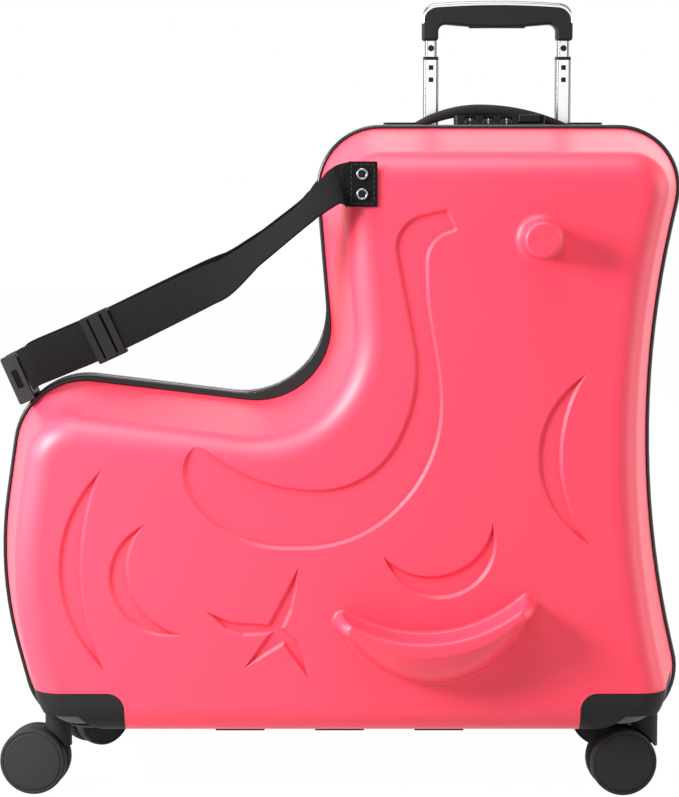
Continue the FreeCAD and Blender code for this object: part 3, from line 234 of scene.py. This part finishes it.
finish = {
    "shell": shellPink(),
    "trim": blackPlastic("rim rubber", 0.004, 0.16, 0.0012, 0.00001, 0.5),
    "zip": blackPlastic("zip black", 0.016, 0.45, 0.002, 0.00002),
    "steel": brightMetal("plated steel", (0.55, 0.55, 0.57), 0.3, 0.05),
    "guard": blackPlastic("grained black", 0.013, 0.5, 0.0011, 0.00012),
    "wheel": blackPlastic("wheel black", 0.022, 0.6, 0.0009, 0.00004),
    # the tubes' sides and the bright strip's top get painted dark reflections
    "tube": brightMetal("polished aluminium", (0.95, 0.95, 0.96), 0.16, 0.02, 0.8, ("X", 0.88)),
    "chrome": brightMetal("bright plating", (0.93, 0.93, 0.94), 0.06, 0.3, 0.8, ("Z", 0.75)),
    "rivet": brightMetal("dark plating", (0.32, 0.32, 0.33), 0.18, 1.0, 0.95),
    "fitting": blackPlastic("smooth black", 0.008, 0.36, 0.003, 0.00002),
    "grip": blackPlastic("soft grip", 0.01, 0.46, 0.0007, 0.00003),
    "web": webbing(),
    "thread": paint("thread", (0.008, 0.008, 0.0085), 0.7),
    "figure": paint("white figures", (0.8, 0.8, 0.78), 0.5),
    "tooth": paint("zip teeth", (0.03, 0.03, 0.032), 0.35),
    "lining": lining(),
}
for part in frame["record"]["subparts"]:
    body = frame["nodes"][part["node"]]
    body.data.materials.clear()
    body.data.materials.append(finish[part["material_slot"]])
print("finishes set")


class Heap:
    # gathers grids of points, in millimetres, into one mesh

    def __init__(self):
        self.points = []
        self.faces = []
        self.uvs = []
        self.count = 0

    def grid(self, points, closeU=False, closeV=False, caps=False, uv=None):
        nu, nv = points.shape[:2]
        u = np.arange(nu if closeU else nu - 1)
        v = np.arange(nv if closeV else nv - 1)
        a, b = np.meshgrid(u, v, indexing="ij")
        nextA = (a + 1) % nu
        nextB = (b + 1) % nv
        quads = np.stack([a * nv + b, nextA * nv + b, nextA * nv + nextB, a * nv + nextB], -1)
        self.faces += (quads.reshape(-1, 4) + self.count).tolist()
        if caps:
            self.faces.append((np.arange(nv)[::-1] + self.count).tolist())
            self.faces.append((np.arange(nv) + (nu - 1) * nv + self.count).tolist())
        self.points.append(points.reshape(-1, 3))
        self.uvs.append(np.zeros((nu * nv, 2)) if uv is None else uv.reshape(-1, 2))
        self.count += nu * nv

    def block(self, centre, axes, sizes, corner):
        # rounded block with its own three directions; the corner is rounded in the first two of them
        a, b, c = (np.array(axis, float) for axis in axes)
        edge = min(corner, sizes[2] / 2) * 0.4
        rings = []
        for inset, lift in ((edge, 0.0), (0.0, edge), (0.0, sizes[2] - edge), (edge, sizes[2])):
            loop = roundedBox(sizes[0] - 2 * inset, sizes[1] - 2 * inset, corner - inset * 0.8)
            base = np.array(centre) + c * (lift - sizes[2] / 2)
            rings.append(base + loop[:, :1] * a + loop[:, 1:] * b)
        self.grid(np.array(rings), closeV=True, caps=True)


sharpAngle = math.radians(40.0)


def makePiece(name, heap, body, slot, replaced=(), look=None):
    mesh = bpy.data.meshes.new(name)
    mesh.from_pydata((np.vstack(heap.points) * mm).tolist(), [], heap.faces)
    corners = np.zeros(len(mesh.loops), np.int32)
    mesh.loops.foreach_get("vertex_index", corners)
    layer = mesh.uv_layers.new(name="UVMap")
    layer.data.foreach_set("uv", np.vstack(heap.uvs)[corners].ravel().astype(np.float32))
    shape = bmesh.new()
    shape.from_mesh(mesh)
    bmesh.ops.remove_doubles(shape, verts=shape.verts, dist=1e-7)
    bmesh.ops.recalc_face_normals(shape, faces=shape.faces)
    shape.to_mesh(mesh)
    shape.free()
    mesh.polygons.foreach_set("use_smooth", np.ones(len(mesh.polygons), bool))
    mesh.set_sharp_from_angle(angle=sharpAngle)
    mesh.materials.append(look or finish[slot])
    piece = bpy.data.objects.new(name, mesh)
    bpy.context.scene.collection.objects.link(piece)
    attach(piece, body)
    if replaced:
        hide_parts(*replaced)


def roundedBox(width, height, corner, steps=5):
    # outline of a rectangle with round corners, centred, counter-clockwise
    turn = np.linspace(0.0, math.pi / 2, steps)
    arc = np.stack([np.cos(turn), np.sin(turn)], -1) * corner
    loops = []
    for k, (sx, sy) in enumerate(((1, 1), (-1, 1), (-1, -1), (1, -1))):
        c, s = math.cos(k * math.pi / 2), math.sin(k * math.pi / 2)
        bend = arc @ np.array([[c, s], [-s, c]])
        loops.append(bend + np.array([sx * (width / 2 - corner), sy * (height / 2 - corner)]))
    return np.vstack(loops)


def sweep(path, side, up, profile):
    # the profile carried along the path: point = path + side * profile x + up * profile y
    return path[:, None] + side[:, None] * profile[None, :, :1] + up[:, None] * profile[None, :, 1:]


def unitRows(vectors):
    return vectors / np.linalg.norm(vectors, axis=-1, keepdims=True)


def turned(profile, centre, axis, count):
    # the profile of (radius, distance along the axis) turned round the axis
    axis = np.array(axis, float)
    side = np.cross(axis, (0.0, 0.0, 1.0) if abs(axis[2]) < 0.9 else (1.0, 0.0, 0.0))
    side /= np.linalg.norm(side)
    up = np.cross(axis, side)
    angle = np.linspace(0.0, 2 * math.pi, count, endpoint=False)
    spoke = np.cos(angle)[:, None] * side + np.sin(angle)[:, None] * up
    profile = np.array(profile, float)
    return np.array(centre) + spoke[:, None] * profile[None, :, :1] + axis * profile[None, :, 1:]


def along(points, spots):
    # places at given distances along a line of points
    steps = np.concatenate([[0.0], np.cumsum(np.linalg.norm(np.diff(points, axis=0), axis=1))])
    return np.stack([np.interp(spots, steps, points[:, k]) for k in range(points.shape[1])], -1)


def lengthOf(points):
    return float(np.linalg.norm(np.diff(points, axis=0), axis=1).sum())


belt = {
    "path": [(5.9, 111.3, 432.3, 0.0), (-5.1, 112.5, 428.3, 46.0), (-18.4, 112.0, 417.1, 58.0),
             (-30.1, 108.0, 406.7, 57.0), (-57.6, 93.0, 384.5, 52.0), (-80.0, 80.0, 366.6, 32.0),
             (-98.0, 70.0, 358.0, 22.0), (-166.9, 47.0, 324.1, 0.0), (-199.8, 39.0, 309.7, 0.0),
             (-217.0, 35.4, 302.5, 0.0), (-223.0, 32.0, 299.6, 0.0), (-225.3, 27.0, 297.6, 0.0),
             (-225.4, 21.0, 296.5, 0.0)],
    "width": 30.0, "thick": 1.7, "corner": 0.45, "lean": -23.6, "sections": 240, "settle": 7.0,
}


def smoothPath(points, count):
    # Catmull-Rom curve through the points, its samples evenly spaced along it
    p = np.array(points, float)
    p = np.vstack([2 * p[0] - p[1], p, 2 * p[-1] - p[-2]])
    t = np.linspace(0.0, 1.0, 40, endpoint=False)[:, None]
    runs = []
    for a, b, c, d in zip(p[:-3], p[1:-2], p[2:-1], p[3:]):
        runs.append(0.5 * (2 * b + (c - a) * t + (2 * a - 5 * b + 4 * c - d) * t ** 2
                           + (3 * b - a - 3 * c + d) * t ** 3))
    curve = np.vstack(runs + [p[-2:-1]])
    spots = np.linspace(0.0, lengthOf(curve), count)
    return along(curve, spots), spots


def beltLine(sign):
    # the strap's middle line with its width and thickness directions, upright where it leaves the tab
    points = np.array(belt["path"])
    places = points[:, :3] * (1.0, sign, 1.0)
    path, length = smoothPath(places, belt["sections"])
    run = unitRows(np.gradient(path, axis=0))
    lean = math.radians(belt["lean"])
    wide = np.array([math.sin(lean), 0.0, math.cos(lean)])
    wide = unitRows(wide - run * (run @ wide)[:, None])
    nearest = [length[np.argmin(np.linalg.norm(path - place, axis=1))] for place in places]
    roll = np.radians(np.interp(length, nearest, points[:, 3]))[:, None]
    wide = wide * np.cos(roll) - sign * np.cross(run, wide) * np.sin(roll)
    share = np.clip(length / belt["settle"], 0.0, 1.0)[:, None]
    wide = unitRows((1 - share) * np.array([0.0, 0.0, 1.0]) + share * wide)
    return path, length, run, wide, unitRows(np.cross(run, wide))


def makeStraps():
    profile = roundedBox(belt["width"], belt["thick"], belt["thick"] * belt["corner"], 4)
    for half, sign in halves.items():
        path, length, run, wide, thick = beltLine(sign)
        heap = Heap()
        uv = np.stack(np.broadcast_arrays(length[:, None], profile[None, :, 0]), -1)
        heap.grid(sweep(path, wide, thick, profile), closeV=True, caps=True, uv=uv)
        makePiece(half + "_webbing", heap, "belt_" + half, "web", [half + "_strap"])


tab = {"corner": 0.9, "edge": 0.4, "stitch": 2.6, "gap": 1.2, "thread": 0.35, "inset": 2.2, "turn": 1.5}


def makeTabs():
    # plate with rolled edges: rings of the outline, each drawn in and raised
    for half, sign in halves.items():
        low, high = (np.array(corner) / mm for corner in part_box(half + "_belt_tab"))
        middle = (low + high) / 2
        width, height = high[0] - low[0], high[2] - low[2]
        near, far = (low[1], high[1]) if sign > 0 else (high[1], low[1])
        rings = []
        edge = tab["edge"]
        for inset, depth in ((edge, near), (0.0, near + sign * edge), (0.0, far - sign * edge), (edge, far)):
            loop = roundedBox(width - 2 * inset, height - 2 * inset, tab["corner"] - inset)
            level = np.full(len(loop), depth)
            rings.append(np.stack([middle[0] + loop[:, 0], level, middle[2] + loop[:, 1]], -1))
        points = np.array(rings)
        heap = Heap()
        heap.grid(points, closeV=True, caps=True, uv=points[..., (0, 2)])
        makePiece(half + "_tab", heap, "belt_" + half, "web", [half + "_belt_tab"])
        thread = Heap()
        loop = roundedBox(width - 2 * tab["inset"], height - 2 * tab["inset"], tab["turn"], 6)
        line = np.stack([middle[0] + loop[:, 0], np.full(len(loop), far), middle[2] + loop[:, 1]], -1)
        addStitches(thread, np.vstack([line, line[:1]]), np.array([0.0, sign, 0.0]))
        makePiece(half + "_tab_stitching", thread, "belt_" + half, "web", look=finish["thread"])


def addStitches(heap, line, out):
    # short bars laid end to end along a line, bowed away from the surface
    total = lengthOf(line)
    count = int(total / (tab["stitch"] + tab["gap"]))
    share = np.linspace(0.0, 1.0, 5)
    ring = np.linspace(0.0, 2 * math.pi, 6, endpoint=False)
    profile = np.stack([np.cos(ring), np.sin(ring)], -1) * tab["thread"]
    for start in np.linspace(0.0, total, count, endpoint=False):
        path = along(line, start + share * tab["stitch"])
        path = path + out * (np.sin(share * math.pi) * 1.2 - 0.6)[:, None] * tab["thread"]
        side = unitRows(np.cross(np.gradient(path, axis=0), out))
        heap.grid(sweep(path, side, np.broadcast_to(out, path.shape), profile), closeV=True, caps=True)


rivet = {"radius": 4.0, "rise": 1.6, "ring": 0.75, "dish": 0.7, "shank": 1.5, "step": 6.8, "count": 40}


def makeRivets():
    # rolled rings round a sunken middle
    ring = rivet["ring"]
    stem = rivet["radius"] / 2
    profile = [(stem, -rivet["shank"]), (stem, 0.0), (rivet["radius"], 0.0)]
    crown, height = rivet["radius"] - ring, rivet["rise"] - ring
    for a in np.linspace(0.0, math.pi, 9):
        profile.append((crown + ring * math.cos(a), height + ring * math.sin(a)))
    inner = crown - ring
    profile.append((inner, 0.0))
    core = [(inner, rivet["dish"]), (inner * 0.5, rivet["dish"] + 0.2), (0.02, rivet["dish"] + 0.25)]
    for half, sign in halves.items():
        low, high = (np.array(corner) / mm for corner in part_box(half + "_belt_rivets"))
        seat = sign * (max(abs(low[1]), abs(high[1])) - rivet["rise"])
        heap = Heap()
        cores = Heap()
        for step in (-1, 1):
            centre = ((low[0] + high[0]) / 2, seat, (low[2] + high[2]) / 2 + step * rivet["step"])
            heap.grid(turned(profile, centre, (0.0, sign, 0.0), rivet["count"]), closeU=True)
            cores.grid(turned(core, centre, (0.0, sign, 0.0), rivet["count"]), closeU=True)
        body = "belt_" + half
        makePiece(half + "_rivet_rings", heap, body, "steel", [half + "_belt_rivets"], look=finish["rivet"])
        makePiece(half + "_rivet_cores", cores, body, "steel", look=finish["fitting"])


adjuster = {"width": 35.0, "length": 23.0, "rail": 2.8, "deep": 4.6, "at": 7, "lift": 1.6, "corner": 1.2,
            "bars": ((-8.6, 5.6, 2.4), (0.0, 9.0, 3.4), (8.6, 5.6, 2.4)), "barCorner": 1.1, "play": 1.0}


def makeAdjuster():
    # slide of three bars across the strap between two rails; the strap is carried over the middle bar
    path, length, run, wide, thick = beltLine(-1)
    spot = np.array(belt["path"][adjuster["at"]][:3]) * (1, -1, 1)
    i = int(np.argmin(np.linalg.norm(path - spot, axis=1)))
    centre, a, w, t = path[i], run[i], wide[i], thick[i]
    heap = Heap()
    for sign in (-1, 1):
        rail = centre + w * sign * (adjuster["width"] - adjuster["rail"]) / 2
        size = (adjuster["length"], adjuster["rail"], adjuster["deep"])
        heap.block(rail, (a, w, t), size, adjuster["corner"])
    for shift, across, deep in adjuster["bars"]:
        spot = centre + a * shift - t * adjuster["lift"]
        size = (across, adjuster["width"] - adjuster["play"], deep)
        heap.block(spot, (a, w, t), size, adjuster["barCorner"])
    makePiece("belt_slide", heap, "belt_front", "fitting", ["belt_adjuster"])


wheel = {"radius": 23.6, "inner": 3.5, "outer": 13.0, "bore": 2.6, "boss": 8.0, "inside": 2.3, "outside": 1.9,
         "crown": 0.1, "count": 96}


def makeWheels():
    # pairs of plain discs: round shoulders, a crowned tread and a capped hub inside a groove
    r, near, far = wheel["radius"], wheel["inner"], wheel["outer"]
    bore, boss, tread, middle = wheel["bore"], wheel["boss"], r - wheel["crown"], (near + far) / 2
    profile = [(bore, near + 0.4), (boss, near + 0.4), (boss + 0.3, near), (r - 3.2, near)]
    e = wheel["inside"]
    for a in np.linspace(0.0, math.pi / 2, 7):
        profile.append((tread - e + e * math.sin(a), near + e - e * math.cos(a)))
    profile += [(r, middle - 1.0), (r, middle + 1.0)]
    e = wheel["outside"]
    for a in np.linspace(0.0, math.pi / 2, 8):
        profile.append((tread - 1.7 + 1.7 * math.cos(a), far - e + e * math.sin(a)))
    profile += [(r - 2.6, far - 0.1), (r - 2.75, far - 0.5), (r - 3.0, far - 0.5), (r - 3.2, far - 0.15)]
    profile += [(r - 3.6, far + 0.05), (r - 4.4, far + 0.15), (r * 0.5, far + 0.3), (0.02, far + 0.35)]
    joints = {joint["name"]: joint for joint in frame["record"]["behaviour"]["joints"]}
    for half in halves:
        for end in ends:
            name = half + "_" + end
            joint = joints[name + "_roll"]
            centre = np.array(joint["pos_m"]) / mm
            heap = Heap()
            for sign in (-1, 1):
                axis = np.array(joint["axis"]) * sign
                heap.grid(turned(profile, centre, axis, wheel["count"]), closeU=True)
            makePiece(name + "_discs", heap, name + "_wheels", "wheel", [name + "_wheels"])


carry = {"left": 44.5, "right": 180.7, "peak": 102.5, "top": 488.0, "foot": 466.8, "y": 41.0, "width": 20.0,
         "thick": 5.0, "corner": 2.2, "swell": 3.2, "fade": 1.2}


def makeCarryHandle():
    # soft strap bent over two arcs, thicker where the hand lies
    rise = carry["top"] - carry["foot"]
    path = []
    for end in (carry["left"], carry["right"]):
        run = abs(end - carry["peak"])
        radius = (run * run + rise * rise) / (2 * rise)
        sweepAngle = math.asin(run / radius)
        angle = np.linspace(0.0, sweepAngle, 40)
        angle = -angle[::-1] if end < carry["peak"] else angle[1:]
        used = radius - carry["thick"] / 2
        path.append(np.stack([carry["peak"] + used * np.sin(angle), np.full(len(angle), carry["y"]),
                              carry["top"] - radius + used * np.cos(angle)], -1))
    path = np.vstack(path)
    run = unitRows(np.gradient(path, axis=0))
    side = np.broadcast_to(np.array([0.0, 1.0, 0.0]), path.shape)
    up = np.cross(run, side) * -1.0
    share = np.linspace(-1.0, 1.0, len(path))
    swell = (carry["swell"] * np.clip(1.0 - share ** 2 * carry["fade"], 0.0, 1.0))[:, None]
    profile = roundedBox(carry["width"], carry["thick"], carry["corner"], 6)
    points = sweep(path + up * swell / 2, side, up * (1.0 + swell / carry["thick"]), profile)
    heap = Heap()
    heap.grid(points, closeV=True, caps=True)
    makePiece("carry_strap", heap, "rear_half", "grip", ["carry_handle"])


dial = {"radius": 3.9, "width": 7.0, "ridge": 0.3, "teeth": 20, "digit": 2.565, "sink": 0.2, "ink": 0.03}


def makeDials():
    # drums with milled edges and ten raised figures round each
    joints = {joint["name"]: joint for joint in frame["record"]["behaviour"]["joints"]}
    for i in (1, 2, 3):
        centre = np.array(joints[f"dial_{i}"]["pos_m"]) / mm
        angle = np.linspace(0.0, 2 * math.pi, dial["teeth"] * 8, endpoint=False)
        mill = np.clip(np.cos(angle * dial["teeth"]) * 2.0, -1.0, 1.0) * 0.5 - 0.5
        heap = Heap()
        half = dial["width"] / 2
        rings = []
        edge = [(half, 2.3, 0.0), (half, 0.5, 0.0), (half - 0.5, 0.0, 1.0), (half - 1.7, 0.0, 1.0),
                (half - 1.9, dial["sink"], 0.0)]
        for x, inset, depth in [(-x, inset, depth) for x, inset, depth in edge] + edge[::-1]:
            reach = dial["radius"] - inset + mill * dial["ridge"] * depth
            level = np.full(len(angle), centre[0] + x)
            y, z = centre[1] + reach * np.cos(angle), centre[2] + reach * np.sin(angle)
            rings.append(np.stack([level, y, z], -1))
        heap.grid(np.array(rings), closeV=True)
        makePiece(f"dial_drum_{i}", heap, f"lock_dial_{i}", "fitting", [f"lock_dial_{i}"])
        figures = Heap()
        for digit in range(10):
            addDigit(figures, str(digit), centre, math.radians(180.0 - 36.0 * (digit - i)))
        makePiece(f"dial_figures_{i}", figures, f"lock_dial_{i}", "fitting", look=finish["figure"])


def addDigit(heap, text, centre, angle):
    # a flat figure wrapped at an angle on a drum that turns about X
    letter = bpy.data.curves.new("figure", "FONT")
    letter.body = text
    letter.align_x = "CENTER"
    letter.align_y = "CENTER"
    letter.size = dial["digit"]
    letter.resolution_u = 3
    holder = bpy.data.objects.new("figure", letter)
    bpy.context.scene.collection.objects.link(holder)
    mesh = bpy.data.meshes.new_from_object(holder.evaluated_get(bpy.context.evaluated_depsgraph_get()))
    flat = np.zeros(len(mesh.vertices) * 3, np.float32)
    mesh.vertices.foreach_get("co", flat)
    flat = flat.reshape(-1, 3)
    reach = dial["radius"] - dial["sink"] + dial["ink"]
    bend = angle - flat[:, 1] / reach
    wrapped = (centre[0] + flat[:, 0], centre[1] + reach * np.cos(bend), centre[2] + reach * np.sin(bend))
    points = np.stack(wrapped, -1)
    heap.faces += [[v + heap.count for v in face.vertices] for face in mesh.polygons]
    heap.points.append(points)
    heap.uvs.append(np.zeros((len(points), 2)))
    heap.count += len(points)
    bpy.data.objects.remove(holder)
    bpy.data.curves.remove(letter)
    bpy.data.meshes.remove(mesh)


rim = {
    "corners": [(-218.7, 34.0, 43.6), (256.7, 34.0, 43.6), (205.3, 247.4, 690.0), (253.9, 470.8, 43.0),
                (-18.3, 470.8, 44.0), (-1.2, 266.7, 54.0), (-227.4, 294.2, 51.0), (-249.0, 148.6, 280.0)],
    "out": [0.8, 0.8, 0.8, 0.8, 0.8, 3.2, 0.8, 0.8], "hinge": (-129.0, 129.0), "wall": 3.0, "draft": 10.5,
    "setback": 5.0, "depth": 107.0, "round": 17.0,
}


def rimLine(out, step=1.0):
    # the case outline, each side moved out by its own amount, as points (x, z) counter-clockwise
    corners = np.array([c[:2] for c in rim["corners"]])
    count = len(corners)
    run = unitRows(np.roll(corners, -1, 0) - corners)
    normal = np.stack([run[:, 1], -run[:, 0]], -1)
    start = corners + normal * np.array(out)[:, None]
    places = []
    for i in range(count):
        p, d, q, e = start[i - 1], run[i - 1], start[i], run[i]
        t = ((q[0] - p[0]) * e[1] - (q[1] - p[1]) * e[0]) / (d[0] * e[1] - d[1] * e[0])
        places.append(p + d * t)
    line = []
    for i in range(count):
        d, e = run[i - 1], run[i]
        side = 1.0 if d[0] * e[1] - d[1] * e[0] > 0 else -1.0
        turn = math.acos(float(np.clip(d @ e, -1.0, 1.0)))
        radius = rim["corners"][i][2] + side * (out[i - 1] + out[i]) / 2
        first = places[i] - d * radius * math.tan(turn / 2)
        centre = first + side * radius * np.array([-d[1], d[0]])
        for a in np.linspace(0.0, turn, max(3, int(radius * turn / step))) * side:
            c, s = math.cos(a), math.sin(a)
            spoke = first - centre
            line.append(centre + np.array([c * spoke[0] - s * spoke[1], s * spoke[0] + c * spoke[1]]))
    line.append(line[0])
    return np.array(line)


zipper = {"pitch": 2.4, "tooth": (1.3, 1.69, 1.1), "corner": 0.3, "side": 0.95, "rise": 0.25, "below": 60.0}


def makeZip():
    # teeth set turn about on the two halves of the chain
    line = rimLine(rim["out"])
    spots = np.arange(0.0, lengthOf(line), zipper["pitch"])
    at = along(line, spots)
    run = unitRows(along(line, spots + 0.3) - along(line, spots - 0.3))
    out = np.stack([run[:, 1], -run[:, 0]], -1)
    start, end = rim["hinge"]
    keep = ~((at[:, 0] > start) & (at[:, 0] < end) & (at[:, 1] < zipper["below"]))
    for k, (half, sign) in enumerate(halves.items()):
        heap = Heap()
        for i in np.flatnonzero(keep)[k::2]:
            a = (run[i][0], 0.0, run[i][1])
            c = (out[i][0], 0.0, out[i][1])
            spot = at[i] + out[i] * zipper["rise"]
            centre = (spot[0], sign * zipper["side"], spot[1])
            heap.block(centre, (a, (0.0, 1.0, 0.0), c), zipper["tooth"], zipper["corner"])
        makePiece(half + "_zip_teeth", heap, half + "_half", "zip", look=finish["tooth"])


cloth = {"points": 260, "gap": 0.6, "tubes": (68.0, 166.4), "tubeY": 66.0, "passage": (11.0, 13.0),
         "above": 400.0, "hem": 10.0, "rows": 24, "roundRows": 8, "step": 6.0}


def makeLinings():
    # cloth inside each half, a little off the wall, with a rounded edge; the tubes pass through its top
    slope = math.tan(math.radians(rim["draft"]))
    for half, sign in halves.items():
        rows = []
        bend = rim["round"]
        start = rim["depth"] - bend
        depths = list(np.linspace(cloth["hem"], start, cloth["rows"]))
        depths += [start + bend * math.sin(a) for a in np.linspace(0.1, math.pi / 2, cloth["roundRows"])]
        for depth in depths:
            over = max(0.0, depth - start)
            inset = rim["wall"] + cloth["gap"] + (depth - rim["setback"]) * slope
            inset += bend - math.sqrt(bend ** 2 - min(over, bend) ** 2)
            line = rimLine([-inset] * len(rim["corners"]), cloth["step"])
            line = along(line, np.linspace(0.0, lengthOf(line), cloth["points"], endpoint=False))
            level = np.full(len(line), sign * (depth - cloth["gap"]))
            rows.append(np.stack([line[:, 0], level, line[:, 1]], -1))
        points = np.array(rows)
        heap = Heap()
        heap.grid(points, closeV=True)
        middle = points.reshape(-1, 3)[np.array(heap.faces)].mean(1)
        across = np.min([abs(middle[:, 0] - x) for x in cloth["tubes"]], axis=0)
        deep = abs(middle[:, 1] - cloth["tubeY"])
        reachX, reachY = cloth["passage"]
        hollow = (across < reachX) & (deep < reachY) & (middle[:, 2] > cloth["above"])
        heap.faces = [face for face, hole in zip(heap.faces, hollow) if not hole]
        heap.faces.append((np.arange(cloth["points"]) + (len(rows) - 1) * cloth["points"]).tolist())
        makePiece(half + "_lining", heap, half + "_half", "web", look=finish["lining"])


buckle = {"centre": (-231.6, 0.0, 291.0), "lean": -23.6, "width": 36.0, "thick": 12.0, "socket": 26.0,
          "plug": 22.0, "gap": 0.25, "hoop": 11.6, "hoopDeep": 3.0, "window": (14.0, 4.6, 0.3), "skin": 2.2,
          "prong": (16.0, 5.6, 3.8), "ridge": (1.2, 7.0, 0.8)}


def makeBuckle():
    # side-release buckle: socket with open sides and a hoop, plug with two prongs and ridged finger pads
    lean = math.radians(buckle["lean"])
    wide = np.array([math.sin(lean), 0.0, math.cos(lean)])
    face = np.array([wide[2], 0.0, -wide[0]])
    y = np.array([0.0, 1.0, 0.0])
    centre = np.array(buckle["centre"])
    w, t = buckle["width"], buckle["thick"]
    heap = Heap()
    mid = centre - y * (buckle["socket"] / 2 + buckle["gap"])
    hoop = (w, t, buckle["hoopDeep"])
    for sign in (-1, 1):
        plate = (buckle["socket"], w * 0.86, buckle["skin"])
        heap.block(mid + face * sign * (t - buckle["skin"]) / 2, (y, wide, face), plate, 4.0)
        heap.block(mid - y * 8.0 + wide * sign * (w / 2 - 3.0), (y, wide, face), (10.0, 6.0, t * 0.9), 2.4)
        heap.block(mid + y * 10.0 + wide * sign * (w / 2 - 3.4), (y, wide, face), (6.0, 5.0, t * 0.9), 2.0)
    makePiece("buckle_shell", heap, "belt_front", "fitting", ["buckle_socket"])
    heap = Heap()
    heap.block(mid - y * buckle["hoop"], (wide, face, y), hoop, 1.4)
    makePiece("buckle_hoop", heap, "belt_front", "fitting", look=finish["wheel"])
    heap = Heap()
    # painted shade: a thin near-black webbing sheet on the hoop's face stands in for the dark slot
    heap.block(mid - y * (buckle["hoop"] + buckle["hoopDeep"] / 2), (wide, face, y), buckle["window"], 1.0)
    makePiece("buckle_slot_shade", heap, "belt_front", "fitting", look=finish["web"])
    heap = Heap()
    mid = centre + y * (buckle["plug"] / 2 + buckle["gap"])
    heap.block(mid, (y, wide, face), (buckle["plug"], w, t * 0.8), 3.6)
    heap.block(mid - y * (buckle["plug"] - buckle["hoopDeep"]) / 2, (wide, face, y), hoop, 1.4)
    for sign in (-1, 1):
        heap.block(centre - y * 7.0 + wide * sign * (w / 2 - 6.9), (y, wide, face), buckle["prong"], 1.6)
        for step in range(4):
            spot = mid + y * (step * 2.4 - 1.0) + wide * sign * (w / 2 - 5.0) + face * t * 0.4
            heap.block(spot, (y, wide, face), buckle["ridge"], 0.4)
    makePiece("buckle_prongs", heap, "belt_rear", "fitting", ["buckle_plug"])


for make in (makeStraps, makeTabs, makeRivets, makeAdjuster, makeBuckle, makeWheels, makeCarryHandle,
             makeDials, makeZip, makeLinings):
    make()
    print(make.__name__)

view = {"target": (0.0, 0.0, 0.2743), "distance": 1.9, "elevation": 5.74, "lens": 117.6, "sensor": 36.0,
        "far": 50.0}


def setCamera():
    lens = bpy.data.cameras.new("camera")
    lens.lens = view["lens"]
    lens.sensor_width = view["sensor"]
    lens.clip_end = view["far"]
    camera = bpy.data.objects.new("camera", lens)
    bpy.context.scene.collection.objects.link(camera)
    tilt = math.radians(view["elevation"])
    reach = Vector((0.0, -math.cos(tilt), math.sin(tilt))) * view["distance"]
    camera.location = Vector(view["target"]) + reach
    camera.rotation_euler = (math.pi / 2 - tilt, 0.0, 0.0)
    bpy.context.scene.camera = camera


lamps = {
    "key": {"at": (-0.76, -0.56, 0.66), "size": 0.45, "power": 16.5},
    "top": {"at": (-0.15, -0.45, 1.5), "size": 1.0, "power": 14.0},
    "left": {"at": (-1.7, -0.2, 0.7), "size": 1.4, "power": 15.0},
    "right": {"at": (1.7, -0.15, 0.6), "size": 1.4, "power": 15.0},
    "back": {"at": (0.6, 2.2, 1.2), "size": 1.8, "power": 12.0},
}


lampAim = Vector((0.0, 0.0, 0.25))


def setLamps():
    for name, lamp in lamps.items():
        light = bpy.data.lights.new(name, "AREA")
        light.shape = "DISK"
        light.size = lamp["size"]
        light.energy = lamp["power"]
        holder = bpy.data.objects.new(name, light)
        bpy.context.scene.collection.objects.link(holder)
        holder.location = lamp["at"]
        holder.visible_camera = False
        aim = lampAim - holder.location
        holder.rotation_euler = aim.to_track_quat("-Z", "Y").to_euler()


studio = {"sky": (0.80, 0.82, 0.85, 1.0), "soft": 0.16, "white": (1.0, 1.0, 1.0, 1.0),
          "floor": (0.5, 0.5, 0.5), "reach": 6.0, "glow": 1.06, "share": 0.93}


def backgroundRays(tree):
    # 1 for rays that meet the background directly, by reflection or through glass
    ray = tree.nodes.new("ShaderNodeLightPath")
    seen = ray.outputs["Is Camera Ray"]
    for name in ("Is Glossy Ray", "Is Transmission Ray"):
        either = tree.nodes.new("ShaderNodeMath")
        either.operation = "MAXIMUM"
        tree.links.new(seen, either.inputs[0])
        tree.links.new(ray.outputs[name], either.inputs[1])
        seen = either.outputs[0]
    return seen


def setWorld():
    world = bpy.data.worlds.new("studio")
    bpy.context.scene.world = world
    world.use_nodes = True
    tree = world.node_tree
    tree.nodes.clear()
    soft = tree.nodes.new("ShaderNodeBackground")
    soft.inputs[0].default_value = studio["sky"]
    soft.inputs[1].default_value = studio["soft"]
    white = tree.nodes.new("ShaderNodeBackground")
    white.inputs[0].default_value = studio["white"]
    mix = tree.nodes.new("ShaderNodeMixShader")
    out = tree.nodes.new("ShaderNodeOutputWorld")
    tree.links.new(backgroundRays(tree), mix.inputs[0])
    tree.links.new(soft.outputs[0], mix.inputs[1])
    tree.links.new(white.outputs[0], mix.inputs[2])
    tree.links.new(mix.outputs[0], out.inputs[0])


def setFloor():
    reach = studio["reach"]
    mesh = bpy.data.meshes.new("floor")
    corners = [(-reach, -reach, 0.0), (reach, -reach, 0.0), (reach, reach, 0.0), (-reach, reach, 0.0)]
    mesh.from_pydata(corners, [], [(0, 1, 2, 3)])
    floor = bpy.data.objects.new("floor", mesh)
    bpy.context.scene.collection.objects.link(floor)
    s = Shader("pale floor", baseColor=studio["floor"], roughness=0.9)
    glow = s.tree.nodes.new("ShaderNodeEmission")
    glow.inputs[1].default_value = studio["glow"]
    mix = s.tree.nodes.new("ShaderNodeMixShader")
    share = Value(s, backgroundRays(s.tree)) * studio["share"]
    s.tree.links.new(share.socket, mix.inputs[0])
    s.tree.links.new(s.skin.outputs[0], mix.inputs[1])
    s.tree.links.new(glow.outputs[0], mix.inputs[2])
    s.tree.links.new(mix.outputs[0], s.out.inputs[0])
    mesh.materials.append(s.material)


setCamera()
setLamps()
setWorld()
setFloor()
bpy.context.scene.view_settings.view_transform = "Standard"
print("stage set")
